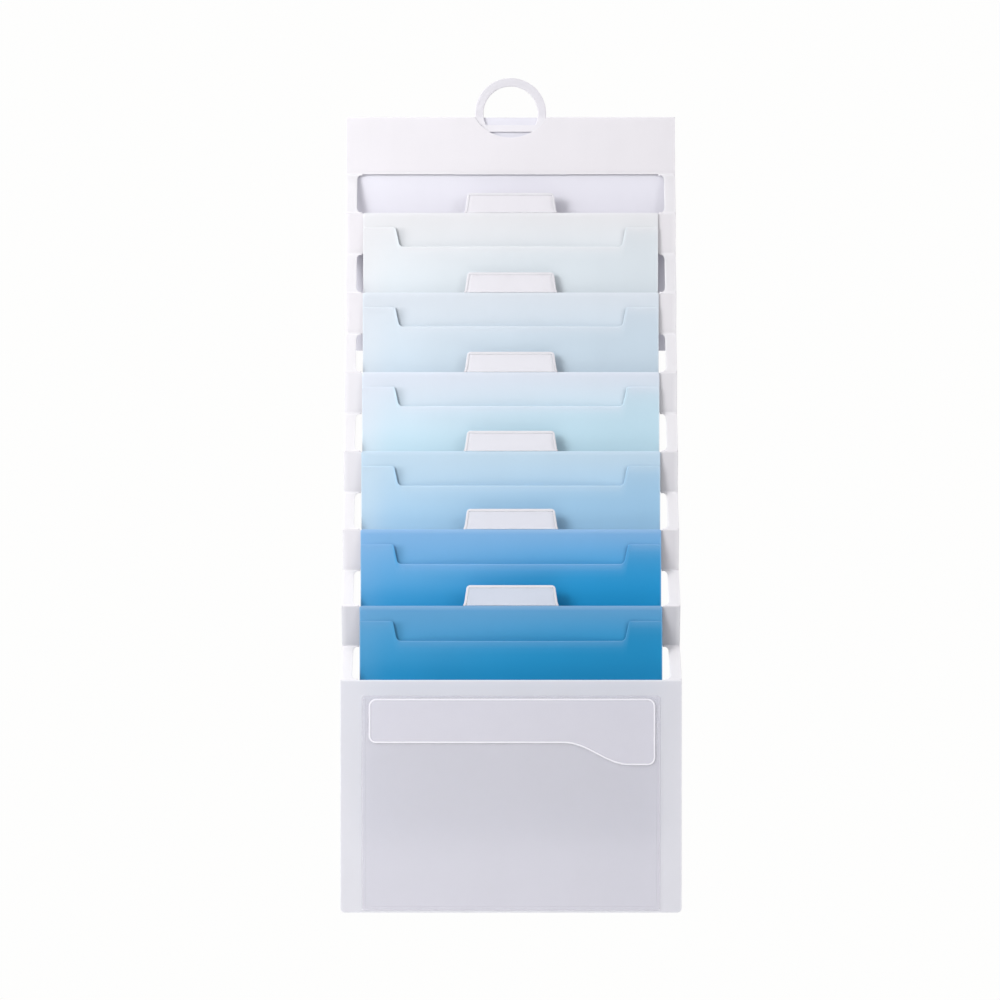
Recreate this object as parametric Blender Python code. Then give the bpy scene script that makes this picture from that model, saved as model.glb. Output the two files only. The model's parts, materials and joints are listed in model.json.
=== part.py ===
"""Hanging document pocket: a wall organiser of six plastic pockets that hang one below the other.

A flat ring hook slides in the header. Below the header one creased white sheet runs down in a zigzag
of short links and bands, and each band carries a pocket. The last link carries the front cover. Every
link can swing up, so that the pockets stack in front of the back cover and the whole folds flat.

Metres, +Z up, the front faces -Y. The origin is where the ring hangs on its nail.
Each piece is drawn in its own flat coordinates: x across, u down from its crease, w forward.
"""

import math

import bmesh
import bpy

# The sheets
sheet_thickness = 0.0006
cover_thickness = 0.0008
piece_gap = 0.0003
corner_radius = 0.005

# The hook, a flat ring closed below by a bar
ring_radius = 0.0391
ring_bar = 0.0092
ring_floor_depth = 0.0130
hook_bar_height = 0.0076
hook_lug_height = 0.0068
hook_lug_reach = 0.0100
hook_thickness = 0.0020
hook_corner_radius = 0.0015
ring_steps = 40

# The header, which the hook slides in
ring_centre_above_header = 0.0043
header_height = 0.0636
notch_radius = 0.0500
notch_depth = 0.0228
notch_steps = 48
hook_side_clearance = 0.0012
hook_guide_width = 0.0140
header_seam_width = 0.0040
back_cover_height = 0.2575

# The zigzag of links and bands
crease_pitch = 0.0448
crease_gap = 0.0004
crease_bevel = 0.0050
crease_edge_share = 0.17
link_strip_width = 0.0123
window_corner_radius = 0.0060
link_side_clearance = 0.0012
link_angle_first = math.radians(12.0)
link_angle_last = math.radians(40.0)
link_angle_growth = 1.7
band_angle_first = math.radians(3.0)
band_angle_last = math.radians(14.0)
band_angle_growth = 1.6
pocket_count = 6

# The pockets
pocket_width = 0.3230
pocket_height = 0.2450
pocket_tilt = math.radians(2.0)
pocket_seam = 0.0040
mouth_rise = 0.0075
mouth_curve = 1.4
ear_drop = 0.0160
notch_floor_drop = 0.0372
mouth_ramp_width = 0.0360
notch_side_slope = 0.0045
notch_corner_radius = 0.0054
pocket_corner_radius = 0.0025
ramp_columns = 5
mouth_rows = 9

# The tabs
tab_base_width = 0.1010
tab_top_width = 0.0890
tab_height = 0.0220
tab_foot = 0.0080
tab_wall = 0.0003
tab_slot = 0.0006
tab_border = 0.0022
tab_corner_radius = 0.0043
tab_label_thickness = 0.0002

# The front cover
cover_height = 0.2475
front_sheet_thickness = 0.0004
front_sheet_side_margin = 0.0230
front_sheet_top_drop = 0.0170
front_sheet_bottom_margin = 0.0030
label_left_margin = 0.0080
label_right_margin = 0.0060
label_thickness = 0.0002
label_top_margin = 0.0040
label_left_height = 0.0456
label_right_height = 0.0690
label_step_width = 0.0689
label_end_width = 0.0265
label_corner_radius = 0.0070
label_step_steps = 12

arc_steps = 6
cutter_overrun = 0.0050

# Colours, as (red, green, blue), with how rough each finish is
WHITE_SHEET = (0.86, 0.85, 0.88)
COVER_WHITE = (0.78, 0.77, 0.82)
CLEAR_FILM = (0.84, 0.88, 0.95)
PAPER_WHITE = (0.83, 0.82, 0.87)
HOOK_WHITE = (0.87, 0.86, 0.88)
POCKET_COLOURS = (
    (0.76, 0.84, 0.86),
    (0.62, 0.76, 0.82),
    (0.56, 0.75, 0.86),
    (0.38, 0.60, 0.82),
    (0.10, 0.37, 0.68),
    (0.04, 0.27, 0.56),
)
SATIN = 0.42
GLOSSY = 0.18
MATT = 0.75


# Places that follow from the sizes

hole_radius = ring_radius - ring_bar
hook_plane = 0.0
header_plane = -(hook_thickness / 2 + piece_gap + sheet_thickness / 2)
back_plane = hook_thickness / 2 + piece_gap
header_top = -hole_radius - ring_centre_above_header
header_bottom = header_top - header_height
strip_inner = pocket_width / 2 + link_side_clearance + window_corner_radius
sheet_width = 2 * (strip_inner + link_strip_width)
notch_floor_width = pocket_width - 2 * (pocket_seam + mouth_ramp_width)
front_sheet_half_width = sheet_width / 2 - front_sheet_side_margin
label_left = label_left_margin - front_sheet_half_width
label_right = front_sheet_half_width - label_right_margin
hook_floor = ring_floor_depth + hook_bar_height
lug_half_width = math.sqrt(ring_radius**2 - ring_floor_depth**2) + hook_lug_reach
hook_travel = ring_radius + ring_centre_above_header

band_front = sheet_thickness / 2
tab_back = band_front + piece_gap
tab_front = tab_back + 2 * tab_wall + tab_slot
back_sheet_rear = tab_back + tab_wall + piece_gap
back_sheet_front = back_sheet_rear + sheet_thickness
seam_rear = back_sheet_front + piece_gap
seam_front = seam_rear + sheet_thickness


def link_angle(stage):
    """How far link number stage leans forward, from 0 for the first: it grows as less weight hangs below."""
    return link_angle_first + (link_angle_last - link_angle_first) * (stage / pocket_count) ** link_angle_growth


def band_angle(stage):
    """How far band number stage leans back, from 1 for the first."""
    grown = ((stage - 1) / (pocket_count - 1)) ** band_angle_growth
    return band_angle_first + (band_angle_last - band_angle_first) * grown


def clear_scene():
    for found in list(bpy.data.objects):
        bpy.data.objects.remove(found, do_unlink=True)


def finish(name, colour, roughness, alpha=1.0):
    """A Principled material of one colour."""
    made = bpy.data.materials.new(name)
    made.use_nodes = True
    shader = made.node_tree.nodes["Principled BSDF"]
    shader.inputs["Base Color"].default_value = (*colour, 1.0)
    shader.inputs["Roughness"].default_value = roughness
    shader.inputs["Metallic"].default_value = 0.0
    shader.inputs["Alpha"].default_value = alpha
    made.diffuse_color = (*colour, 1.0)
    return made


def pivot(name, parent, place):
    """An empty on a joint's axis, at a place in the world."""
    made = bpy.data.objects.new(name, None)
    bpy.context.scene.collection.objects.link(made)
    made.empty_display_size = crease_pitch
    if parent is not None:
        made.parent = parent
        start = [0.0, 0.0, 0.0]
        above = parent
        while above is not None:
            start = [a + b for a, b in zip(start, above.location)]
            above = above.parent
        place = [a - b for a, b in zip(place, start)]
    made.location = place
    return made


def piece(name, shape, surface, parent, lean=0.0):
    """An object from a bmesh in flat coordinates, hung from its pivot and leaning back by lean."""
    bmesh.ops.recalc_face_normals(shape, faces=shape.faces)
    mesh = bpy.data.meshes.new(name)
    shape.to_mesh(mesh)
    shape.free()
    made = bpy.data.objects.new(name, mesh)
    bpy.context.scene.collection.objects.link(made)
    mesh.materials.append(surface)
    made.parent = parent
    made.rotation_euler = (lean, 0.0, 0.0)
    return made


def cut(target, shape, name):
    """Takes a shape out of target with a Boolean. The cutter stays as a hidden guide."""
    guide = piece(name, shape, target.data.materials[0], target.parent, target.rotation_euler.x)
    guide.hide_render = True
    guide.display_type = "WIRE"
    modifier = target.modifiers.new(name, "BOOLEAN")
    modifier.operation = "DIFFERENCE"
    modifier.solver = "EXACT"
    modifier.object = guide


def flat(x, u, w):
    """A point of a piece, from its place across, down and forward."""
    return (x, -w, -u)


def arc(centre, radius, start, end, steps):
    """Points on an arc in the sheet's plane, from one angle to another, both ends included."""
    turns = [start + (end - start) * i / steps for i in range(steps + 1)]
    return [(centre[0] + radius * math.cos(t), centre[1] + radius * math.sin(t)) for t in turns]


def rounded(corners, steps=arc_steps):
    """An outline with round corners, from (x, u, radius) of each. A corner of no radius stays sharp."""
    outline = []
    count = len(corners)
    for i, (x, u, radius) in enumerate(corners):
        if radius == 0:
            outline.append((x, u))
            continue
        before, after = corners[i - 1], corners[(i + 1) % count]
        into = (before[0] - x, before[1] - u)
        out = (after[0] - x, after[1] - u)
        into_length, out_length = math.hypot(*into), math.hypot(*out)
        into = (into[0] / into_length, into[1] / into_length)
        out = (out[0] / out_length, out[1] / out_length)
        half = math.acos(max(-1.0, min(1.0, into[0] * out[0] + into[1] * out[1]))) / 2
        reach = radius / math.tan(half)
        middle = (into[0] + out[0], into[1] + out[1])
        scale = radius / math.sin(half) / math.hypot(*middle)
        centre = (x + middle[0] * scale, u + middle[1] * scale)
        first = (x + into[0] * reach - centre[0], u + into[1] * reach - centre[1])
        last = (x + out[0] * reach - centre[0], u + out[1] * reach - centre[1])
        start = math.atan2(first[1], first[0])
        turn = math.atan2(first[0] * last[1] - first[1] * last[0], first[0] * last[0] + first[1] * last[1])
        outline += arc(centre, radius, start, start + turn, steps)
    return outline


def plate(outlines, rear, front):
    """A flat sheet between two planes. The first outline is its edge and any others are holes."""
    shape = bmesh.new()
    for outline in outlines:
        ring = [shape.verts.new(flat(x, u, rear)) for x, u in outline]
        for a, b in zip(ring, ring[1:] + ring[:1]):
            shape.edges.new((a, b))
    bmesh.ops.triangle_fill(shape, use_beauty=True, use_dissolve=False, edges=shape.edges[:])
    grown = bmesh.ops.extrude_face_region(shape, geom=shape.faces[:], use_keep_orig=True)
    moved = [g for g in grown["geom"] if isinstance(g, bmesh.types.BMVert)]
    bmesh.ops.translate(shape, verts=moved, vec=flat(0.0, 0.0, front - rear))
    return shape


def ribbon(sections):
    """A strip through four-cornered sections of (u, left, right, rear, front), closed at both ends."""
    shape = bmesh.new()
    rings = []
    for u, left, right, rear, front in sections:
        corners = ((left, rear), (right, rear), (right, front), (left, front))
        rings.append([shape.verts.new(flat(x, u, w)) for x, w in corners])
    for above, below in zip(rings, rings[1:]):
        for i in range(4):
            j = (i + 1) % 4
            shape.faces.new((above[i], above[j], below[j], below[i]))
    shape.faces.new(rings[0])
    shape.faces.new(rings[-1])
    return shape


def thinned(distance, half_thickness):
    """How far a creased face stands off the middle of its sheet, at a distance from the crease.

    It rises straight from a thin edge to the full half thickness at the end of the bevel.
    """
    edge = -half_thickness + 2 * half_thickness * crease_edge_share
    share = (distance - crease_gap) / (crease_bevel - crease_gap)
    return edge + (half_thickness - edge) * max(0.0, min(1.0, share))


def hook_shape():
    """The ring, its bar and the two lugs that the header catches, drawn about the ring's centre."""
    lug_top = hook_floor - hook_lug_height
    meet = math.asin(lug_top / ring_radius)
    outer = arc((0.0, 0.0), ring_radius, math.pi - meet, 2 * math.pi + meet, ring_steps)
    right = rounded(
        [
            (lug_half_width, lug_top, hook_corner_radius),
            (lug_half_width, hook_floor, hook_corner_radius),
            (-lug_half_width, hook_floor, hook_corner_radius),
            (-lug_half_width, lug_top, hook_corner_radius),
        ]
    )
    floor_meet = math.asin(ring_floor_depth / hole_radius)
    hole = arc((0.0, 0.0), hole_radius, math.pi - floor_meet, 2 * math.pi + floor_meet, ring_steps)
    return plate([outer + right, hole], -hook_thickness / 2, hook_thickness / 2)


def guide_shape(side):
    """The weld beside the hook. Its upper end is the narrow mouth that the hook's lug can't pass."""
    mouth = ring_radius + hook_side_clearance
    chamber = lug_half_width + hook_side_clearance
    outer = chamber + hook_guide_width
    shoulder = hook_floor - hook_lug_height - ring_centre_above_header - piece_gap
    corners = [
        (side * mouth, 0.0, 0.0),
        (side * mouth, shoulder, 0.0),
        (side * chamber, shoulder, 0.0),
        (side * chamber, header_height, 0.0),
        (side * outer, header_height, 0.0),
        (side * outer, 0.0, 0.0),
    ]
    return plate([rounded(corners)], -hook_thickness / 2, hook_thickness / 2)


def header_front_shape():
    """The header's front layer, thinned at its lower edge, where the first link folds up before it."""
    half = sheet_thickness / 2
    lean = [header_height - crease_bevel, header_height - crease_gap]
    sections = [(0.0, -sheet_width / 2, sheet_width / 2, -half, half)]
    sections += [(u, -sheet_width / 2, sheet_width / 2, -half, thinned(header_height - u, half)) for u in lean]
    return ribbon(sections)


def thumb_notch_shape():
    """A round cutter for the shallow arc in the header's top edge."""
    centre = (0.0, notch_depth - notch_radius)
    circle = arc(centre, notch_radius, 0.0, 2 * math.pi, notch_steps)[:-1]
    return plate([circle], -cutter_overrun, cutter_overrun)


def back_cover_shape():
    """The stiff rear sheet, from the header's top edge down."""
    half = sheet_width / 2
    corners = [
        (-half, 0.0, corner_radius / 2),
        (half, 0.0, corner_radius / 2),
        (half, back_cover_height, corner_radius),
        (-half, back_cover_height, corner_radius),
    ]
    return plate([rounded(corners)], -cover_thickness, 0.0)


def link_shape(side):
    """One side strip of a link. It widens in a fillet at both ends, where the window beside it stops.

    The upper end is thinned in front and the lower end behind, because each crease closes on that side.
    """
    half = sheet_thickness / 2
    steps = [crease_gap]
    steps += [window_corner_radius * (1 - math.cos(math.pi / 2 * i / arc_steps)) for i in range(1, arc_steps)]
    steps += [window_corner_radius]
    steps = [s for s in steps if s >= crease_gap]
    distances = sorted(set(steps + [crease_bevel]))
    sections = []
    for d in distances:
        near = window_corner_radius - min(d, window_corner_radius)
        flare = window_corner_radius - math.sqrt(max(0.0, window_corner_radius**2 - near**2))
        edges = sorted((side * (strip_inner - flare), side * sheet_width / 2))
        sections.append((d, *edges, -half, thinned(d, half)))
    for u, left, right, rear, front in reversed(sections[:]):
        sections.append((crease_pitch - u, left, right, -front, -rear))
    return ribbon(sections)


def band_shape():
    """A band of the creased sheet, thinned behind at its upper crease and in front at its lower one."""
    half = sheet_thickness / 2
    sections = [(d, -sheet_width / 2, sheet_width / 2, -thinned(d, half), half) for d in (crease_gap, crease_bevel)]
    sections += [
        (crease_pitch - d, -sheet_width / 2, sheet_width / 2, -half, thinned(d, half))
        for d in (crease_bevel, crease_gap)
    ]
    return ribbon(sections)


def back_sheet_shape():
    """A pocket's back, which rises to the crest and carries the tab."""
    half = pocket_width / 2
    corners = [
        (-half, 0.0, pocket_corner_radius),
        (half, 0.0, pocket_corner_radius),
        (half, pocket_height, pocket_corner_radius),
        (-half, pocket_height, pocket_corner_radius),
    ]
    return plate([rounded(corners)], back_sheet_rear, back_sheet_front)


def swell(x, u):
    """How far a pocket's front stands off its seams: nothing at the seams, most at the mouth's middle.

    Across, it eases up from the seam to the notch corner and stays level between the corners. Down, it
    falls as a power of the height left above the lower seam.
    """
    seam_edge = pocket_width / 2 - pocket_seam
    share = (seam_edge - abs(x)) / (seam_edge - notch_floor_width / 2)
    share = max(0.0, min(1.0, share))
    eased = share * share * (3 - 2 * share)
    left = max(0.0, 1 - u / (pocket_height - pocket_seam))
    return mouth_rise * eased * left**mouth_curve


def front_sheet_shape():
    """A pocket's front sheet, a shell over a grid of columns and rows that swells towards its mouth."""
    half = pocket_width / 2
    seam_edge = half - pocket_seam
    plateau = notch_floor_width / 2
    right = [seam_edge + (plateau - seam_edge) * i / ramp_columns for i in range(ramp_columns + 1)]
    right = [half] + right
    columns = [-x for x in right] + right[::-1]
    lower_seam = pocket_height - pocket_seam
    rows = [ear_drop + (lower_seam - ear_drop) * i / mouth_rows for i in range(mouth_rows + 1)]
    rows += [pocket_height]
    shape = bmesh.new()
    layers = []
    for base in (seam_rear, seam_front):
        layers.append([[shape.verts.new(flat(x, u, base + swell(x, u))) for x in columns] for u in rows])
    for grid in layers:
        for above, below in zip(grid, grid[1:]):
            for i in range(len(columns) - 1):
                shape.faces.new((above[i], above[i + 1], below[i + 1], below[i]))
    rear, front = layers
    rim_rear = rear[0] + [row[-1] for row in rear[1:]] + rear[-1][-2::-1] + [row[0] for row in rear[-2:0:-1]]
    rim_front = front[0] + [row[-1] for row in front[1:]] + front[-1][-2::-1] + [row[0] for row in front[-2:0:-1]]
    for i in range(len(rim_rear)):
        j = (i + 1) % len(rim_rear)
        shape.faces.new((rim_rear[i], rim_rear[j], rim_front[j], rim_front[i]))
    return shape


def mouth_notch_shape():
    """The cutter for the wide notch in a pocket's mouth, with slanted sides and round corners."""
    bottom = notch_floor_width / 2
    slope = notch_side_slope / (notch_floor_drop - ear_drop)
    lip = bottom + notch_side_slope
    over = lip + slope * cutter_overrun
    beyond = over + cutter_overrun
    top = ear_drop - cutter_overrun
    corners = [
        (-beyond, top, 0.0),
        (beyond, top, 0.0),
        (beyond, ear_drop - piece_gap, 0.0),
        (lip, ear_drop - piece_gap, notch_corner_radius / 2),
        (bottom, notch_floor_drop, notch_corner_radius),
        (-bottom, notch_floor_drop, notch_corner_radius),
        (-lip, ear_drop - piece_gap, notch_corner_radius / 2),
        (-beyond, ear_drop - piece_gap, 0.0),
    ]
    return plate([rounded(corners)], seam_rear - cutter_overrun, seam_front + mouth_rise + cutter_overrun)


def tab_outline(border, foot):
    """The tab seen from the front, narrowed by a border and carried down by a foot."""
    base = tab_base_width / 2 - border
    top = tab_top_width / 2 - border
    radius = max(tab_corner_radius - border, tab_corner_radius / 4)
    return [
        (-top, -tab_height + border, radius),
        (top, -tab_height + border, radius),
        (base, 0.0, 0.0),
        (base, foot, 0.0),
        (-base, foot, 0.0),
        (-base, 0.0, 0.0),
    ]


def tab_sleeve_shape():
    """A clear sleeve over the tab, its front wall ending just above the pocket's top edge."""
    return plate([rounded(tab_outline(0.0, tab_foot))], tab_back, tab_front)


def tab_slot_shape():
    """The cutter for the slot that the paper label slides into, open below."""
    outline = rounded(tab_outline(tab_border, tab_foot + cutter_overrun))
    return plate([outline], tab_back + tab_wall, tab_front - tab_wall)


def tab_step_shape():
    """The cutter that leaves only the sleeve's rear wall below the pocket's top edge."""
    half = tab_base_width / 2 + cutter_overrun
    outline = [
        (-half, -piece_gap),
        (half, -piece_gap),
        (half, tab_foot + cutter_overrun),
        (-half, tab_foot + cutter_overrun),
    ]
    return plate([outline], tab_back + tab_wall, tab_front + cutter_overrun)


def tab_label_shape():
    """The paper label in its sleeve."""
    border = tab_border + piece_gap
    middle = tab_back + tab_wall + tab_slot / 2
    corners = [(x, min(u, -piece_gap), r) for x, u, r in tab_outline(border, 0.0) if u <= 0.0]
    corners = corners[:3] + corners[-1:]
    return plate([rounded(corners)], middle - tab_label_thickness / 2, middle + tab_label_thickness / 2)


def front_cover_shape():
    """The front cover, thinned behind at its crease, with round lower corners."""
    half = cover_thickness / 2
    wide = sheet_width / 2
    sections = [(d, -wide, wide, -thinned(d, half), half) for d in (crease_gap, crease_bevel)]
    for i in range(arc_steps + 1):
        turn = math.pi / 2 * i / arc_steps
        inset = corner_radius * (1 - math.cos(turn))
        u = cover_height - corner_radius * (1 - math.sin(turn))
        sections.append((u, inset - wide, wide - inset, -half, half))
    return ribbon(sections)


def front_sheet_pocket_shape():
    """The clear sheet welded on the front cover."""
    half = front_sheet_half_width
    rear = cover_thickness / 2 + piece_gap
    bottom = cover_height - front_sheet_bottom_margin
    corners = [
        (-half, front_sheet_top_drop, corner_radius / 2),
        (half, front_sheet_top_drop, corner_radius / 2),
        (half, bottom, corner_radius / 2),
        (-half, bottom, corner_radius / 2),
    ]
    return plate([rounded(corners)], rear, rear + front_sheet_thickness)


def label_shape():
    """The bare label on the front sheet: low on the left, with an S-shaped step down to its right end."""
    top = front_sheet_top_drop + label_top_margin
    rear = cover_thickness / 2 + 2 * piece_gap + front_sheet_thickness
    low, high = top + label_left_height, top + label_right_height
    ends = [
        (label_right, high, label_corner_radius),
        (label_right, top, label_corner_radius),
        (label_left, top, label_corner_radius),
        (label_left, low, label_corner_radius),
    ]
    step = []
    for i in range(label_step_steps + 1):
        share = i / label_step_steps
        x = label_right - label_end_width - label_step_width * (1 - share)
        step.append((x, low + (high - low) * (1 - math.cos(math.pi * share)) / 2, 0.0))
    return plate([rounded(ends + step)], rear, rear + label_thickness)


def build_header():
    """The hook and what it slides in. Returns the empty that the first link hangs from."""
    hung = pivot("hook_pivot", None, (0.0, 0.0, 0.0))
    ring = pivot("ring_centre", hung, (0.0, hook_plane, -hole_radius))
    white = finish("hook_white", HOOK_WHITE, SATIN)
    piece("hook", hook_shape(), white, ring)

    panel = pivot("back_panel_slide", hung, (0.0, hook_plane, header_top))
    for side, word in ((-1, "left"), (1, "right")):
        weld = finish(f"hook_guide_{word}_white", WHITE_SHEET, SATIN)
        piece(f"hook_guide_{word}", guide_shape(side), weld, panel)
        seam = finish(f"header_seam_{word}_white", WHITE_SHEET, SATIN)
        edges = sorted((side * (sheet_width / 2 - header_seam_width), side * sheet_width / 2))
        half = hook_thickness / 2
        ends = [(0.0, *edges, -half, half), (header_height, *edges, -half, half)]
        piece(f"header_seam_{word}", ribbon(ends), seam, panel)
    floor_top = hook_floor - ring_centre_above_header + hook_travel + piece_gap
    reach = lug_half_width + hook_side_clearance - piece_gap
    floor = [(u, -reach, reach, -hook_thickness / 2, hook_thickness / 2) for u in (floor_top, header_height)]
    piece("hook_guide_floor", ribbon(floor), finish("hook_guide_floor_white", WHITE_SHEET, SATIN), panel)

    rear = pivot("back_cover_place", panel, (0.0, back_plane, header_top))
    piece("back_cover", back_cover_shape(), finish("back_cover_white", WHITE_SHEET, SATIN), rear)
    front = pivot("header_front_place", panel, (0.0, header_plane, header_top))
    layer = piece("header_front", header_front_shape(), finish("header_front_white", WHITE_SHEET, SATIN), front)
    cut(layer, thumb_notch_shape(), "thumb_notch_cutter")
    return panel


def build_link(stage, above, crease):
    """The two side strips of a link, hung from the crease above it."""
    hinge = pivot(f"link_{stage + 1}_pivot", above, crease)
    for side, word in ((-1, "left"), (1, "right")):
        name = f"link_{stage + 1}_strip_{word}"
        piece(name, link_shape(side), finish(name + "_white", WHITE_SHEET, SATIN), hinge, -link_angle(stage))
    return hinge


def build_pocket(stage, above, crest):
    """A band with its pocket, its tab sleeve and the paper in it, hung from the crest crease."""
    hinge = pivot(f"pocket_{stage}_pivot", above, crest)
    colour = POCKET_COLOURS[(stage - 1) % len(POCKET_COLOURS)]
    name = f"band_{stage}"
    piece(name, band_shape(), finish(name + "_white", WHITE_SHEET, SATIN), hinge, band_angle(stage))
    name = f"pocket_{stage}_back"
    piece(name, back_sheet_shape(), finish(name + "_tint", colour, SATIN), hinge, pocket_tilt)
    name = f"pocket_{stage}_front"
    front = piece(name, front_sheet_shape(), finish(name + "_tint", colour, SATIN), hinge, pocket_tilt)
    cut(front, mouth_notch_shape(), name + "_notch_cutter")
    name = f"tab_{stage}_sleeve"
    sleeve = piece(name, tab_sleeve_shape(), finish(name + "_clear", CLEAR_FILM, GLOSSY), hinge, pocket_tilt)
    cut(sleeve, tab_slot_shape(), name + "_slot_cutter")
    cut(sleeve, tab_step_shape(), name + "_step_cutter")
    name = f"tab_{stage}_label"
    piece(name, tab_label_shape(), finish(name + "_paper", PAPER_WHITE, MATT), hinge, pocket_tilt)
    return hinge


def build_front_cover(above, crest):
    """The front cover with its clear sheet and its bare label, hung from the last crest."""
    hinge = pivot("front_cover_pivot", above, crest)
    piece("front_cover", front_cover_shape(), finish("front_cover_white", COVER_WHITE, SATIN), hinge, pocket_tilt)
    clear = finish("front_cover_sheet_clear", COVER_WHITE, GLOSSY)
    piece("front_cover_sheet", front_sheet_pocket_shape(), clear, hinge, pocket_tilt)
    piece("front_label", label_shape(), finish("front_label_film", PAPER_WHITE, GLOSSY), hinge, pocket_tilt)


def main():
    clear_scene()
    above = build_header()
    y, z = header_plane, header_bottom
    for stage in range(pocket_count + 1):
        hinge = build_link(stage, above, (0.0, y, z))
        y -= crease_pitch * math.sin(link_angle(stage))
        z -= crease_pitch * math.cos(link_angle(stage))
        if stage == pocket_count:
            build_front_cover(hinge, (0.0, y, z))
            break
        above = build_pocket(stage + 1, hinge, (0.0, y, z))
        y += crease_pitch * math.sin(band_angle(stage + 1))
        z -= crease_pitch * math.cos(band_angle(stage + 1))


main()
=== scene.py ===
"""The looks of a hanging document pocket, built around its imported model.

Six tinted pockets hang one below the other from a ring hook, on a creased white sheet, with a
front cover at the bottom. Every piece is a surface worked out from a few sizes and placed where
the model's joints say.
"""
import json
import math

import bpy
import numpy as np
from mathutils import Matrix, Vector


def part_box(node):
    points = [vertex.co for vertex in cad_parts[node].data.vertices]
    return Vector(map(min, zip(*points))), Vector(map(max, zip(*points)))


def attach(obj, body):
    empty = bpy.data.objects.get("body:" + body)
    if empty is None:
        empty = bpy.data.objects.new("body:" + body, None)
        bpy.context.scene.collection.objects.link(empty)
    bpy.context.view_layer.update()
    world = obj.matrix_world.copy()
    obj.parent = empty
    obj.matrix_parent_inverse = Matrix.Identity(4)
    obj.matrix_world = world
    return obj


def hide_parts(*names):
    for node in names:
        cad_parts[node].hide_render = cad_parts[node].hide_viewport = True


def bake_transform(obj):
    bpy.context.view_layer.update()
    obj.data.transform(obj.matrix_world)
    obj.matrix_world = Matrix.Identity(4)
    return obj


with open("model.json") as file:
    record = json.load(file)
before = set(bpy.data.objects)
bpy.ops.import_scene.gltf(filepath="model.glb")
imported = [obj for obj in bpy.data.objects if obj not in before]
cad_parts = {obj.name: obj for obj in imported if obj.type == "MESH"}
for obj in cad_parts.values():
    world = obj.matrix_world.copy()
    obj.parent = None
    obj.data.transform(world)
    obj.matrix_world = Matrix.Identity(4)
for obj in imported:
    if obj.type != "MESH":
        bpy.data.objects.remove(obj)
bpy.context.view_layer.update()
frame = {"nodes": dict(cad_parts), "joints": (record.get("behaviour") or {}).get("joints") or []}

bl_info = {
    "name": "Hanging document pocket",
    "version": (1, 0, 0),
    "blender": (4, 5, 0),
    "location": "3D View > Sidebar > Document Pocket",
    "description": "Builds the sheets, pockets, tabs and hook of a wall organiser round its model",
    "category": "Add Mesh",
}

# Places from the model

JOINT_AT = {j["name"]: np.array(j.get("pos_m", (0.0, 0.0, 0.0))) for j in frame["joints"]}
STAGES = sorted(int(name.split("_")[1]) for name in JOINT_AT if name.startswith("link_"))
POCKETS = STAGES[:-1]


def box_of(node):
    """The lowest and highest corner of a CAD node, as arrays."""
    low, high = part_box(node)
    return np.array(low), np.array(high)


HEADER_LOW, HEADER_HIGH = box_of("header_front")
SHEET_HALF = float(HEADER_HIGH[0])
HEADER_TOP = float(HEADER_HIGH[2])
HEADER_PLANE = float(HEADER_LOW[1] + HEADER_HIGH[1]) / 2
HEADER_HEIGHT = HEADER_TOP - float(JOINT_AT["link_1_fold"][2])
POCKET_HALF = float(box_of("pocket_1_back")[1][0])
COVER_SHEET_HALF = float(box_of("front_cover_sheet")[1][0])
LABEL_LEFT, LABEL_RIGHT = (float(corner[0]) for corner in box_of("front_label"))


def rear_crease(stage):
    """Where link number stage hangs from."""
    return JOINT_AT[f"link_{stage}_fold"]


def crest(stage):
    """Where pocket number stage hangs from, or the front cover for the last stage."""
    name = f"pocket_{stage}_fold" if stage in POCKETS else "front_cover_fold"
    return JOINT_AT[name]


def lean_between(above, below):
    """How far a sheet leans back, in radians, when it runs from one crease to the next."""
    return math.atan2(below[1] - above[1], above[2] - below[2])


def link_lean(stage):
    return lean_between(rear_crease(stage), crest(stage))


def band_lean(stage):
    return lean_between(crest(stage), rear_crease(stage + 1))


def placed(anchor, lean, x, u, w):
    """Points in the world of places across (x), down (u) and forward (w) on a sheet.

    The sheet hangs from its anchor and leans back by lean: y = ay - w cos(lean) + u sin(lean) and
    z = az - w sin(lean) - u cos(lean).
    """
    x, u, w = np.broadcast_arrays(x, u, w)
    y = anchor[1] - w * math.cos(lean) + u * math.sin(lean)
    z = anchor[2] - w * math.sin(lean) - u * math.cos(lean)
    return np.stack([x, y, z], -1)


# Sizes and colours


def length(name, text, value):
    """A length that a user may change."""
    return bpy.props.FloatProperty(
        name=name, description=text, default=value, min=0.0, unit="LENGTH", precision=5
    )


def colour(name, text, value):
    """A linear colour that a user may change."""
    return bpy.props.FloatVectorProperty(
        name=name, description=text, default=value, size=3, min=0.0, max=1.0, subtype="COLOR"
    )


def shares(name, text, values):
    """One share from 0 to 1 for each of the six pockets."""
    return bpy.props.FloatVectorProperty(
        name=name, description=text, default=values, size=6, min=0.0, max=1.0
    )


def lengths(name, text, values):
    """One length for each of the six pockets."""
    return bpy.props.FloatVectorProperty(
        name=name, description=text, default=values, size=6, min=0.0, unit="LENGTH", precision=5
    )


def strength(name, text, value, unit="NONE"):
    """A strength of light that a user may change."""
    return bpy.props.FloatProperty(name=name, description=text, default=value, min=0.0, unit=unit)


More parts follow.
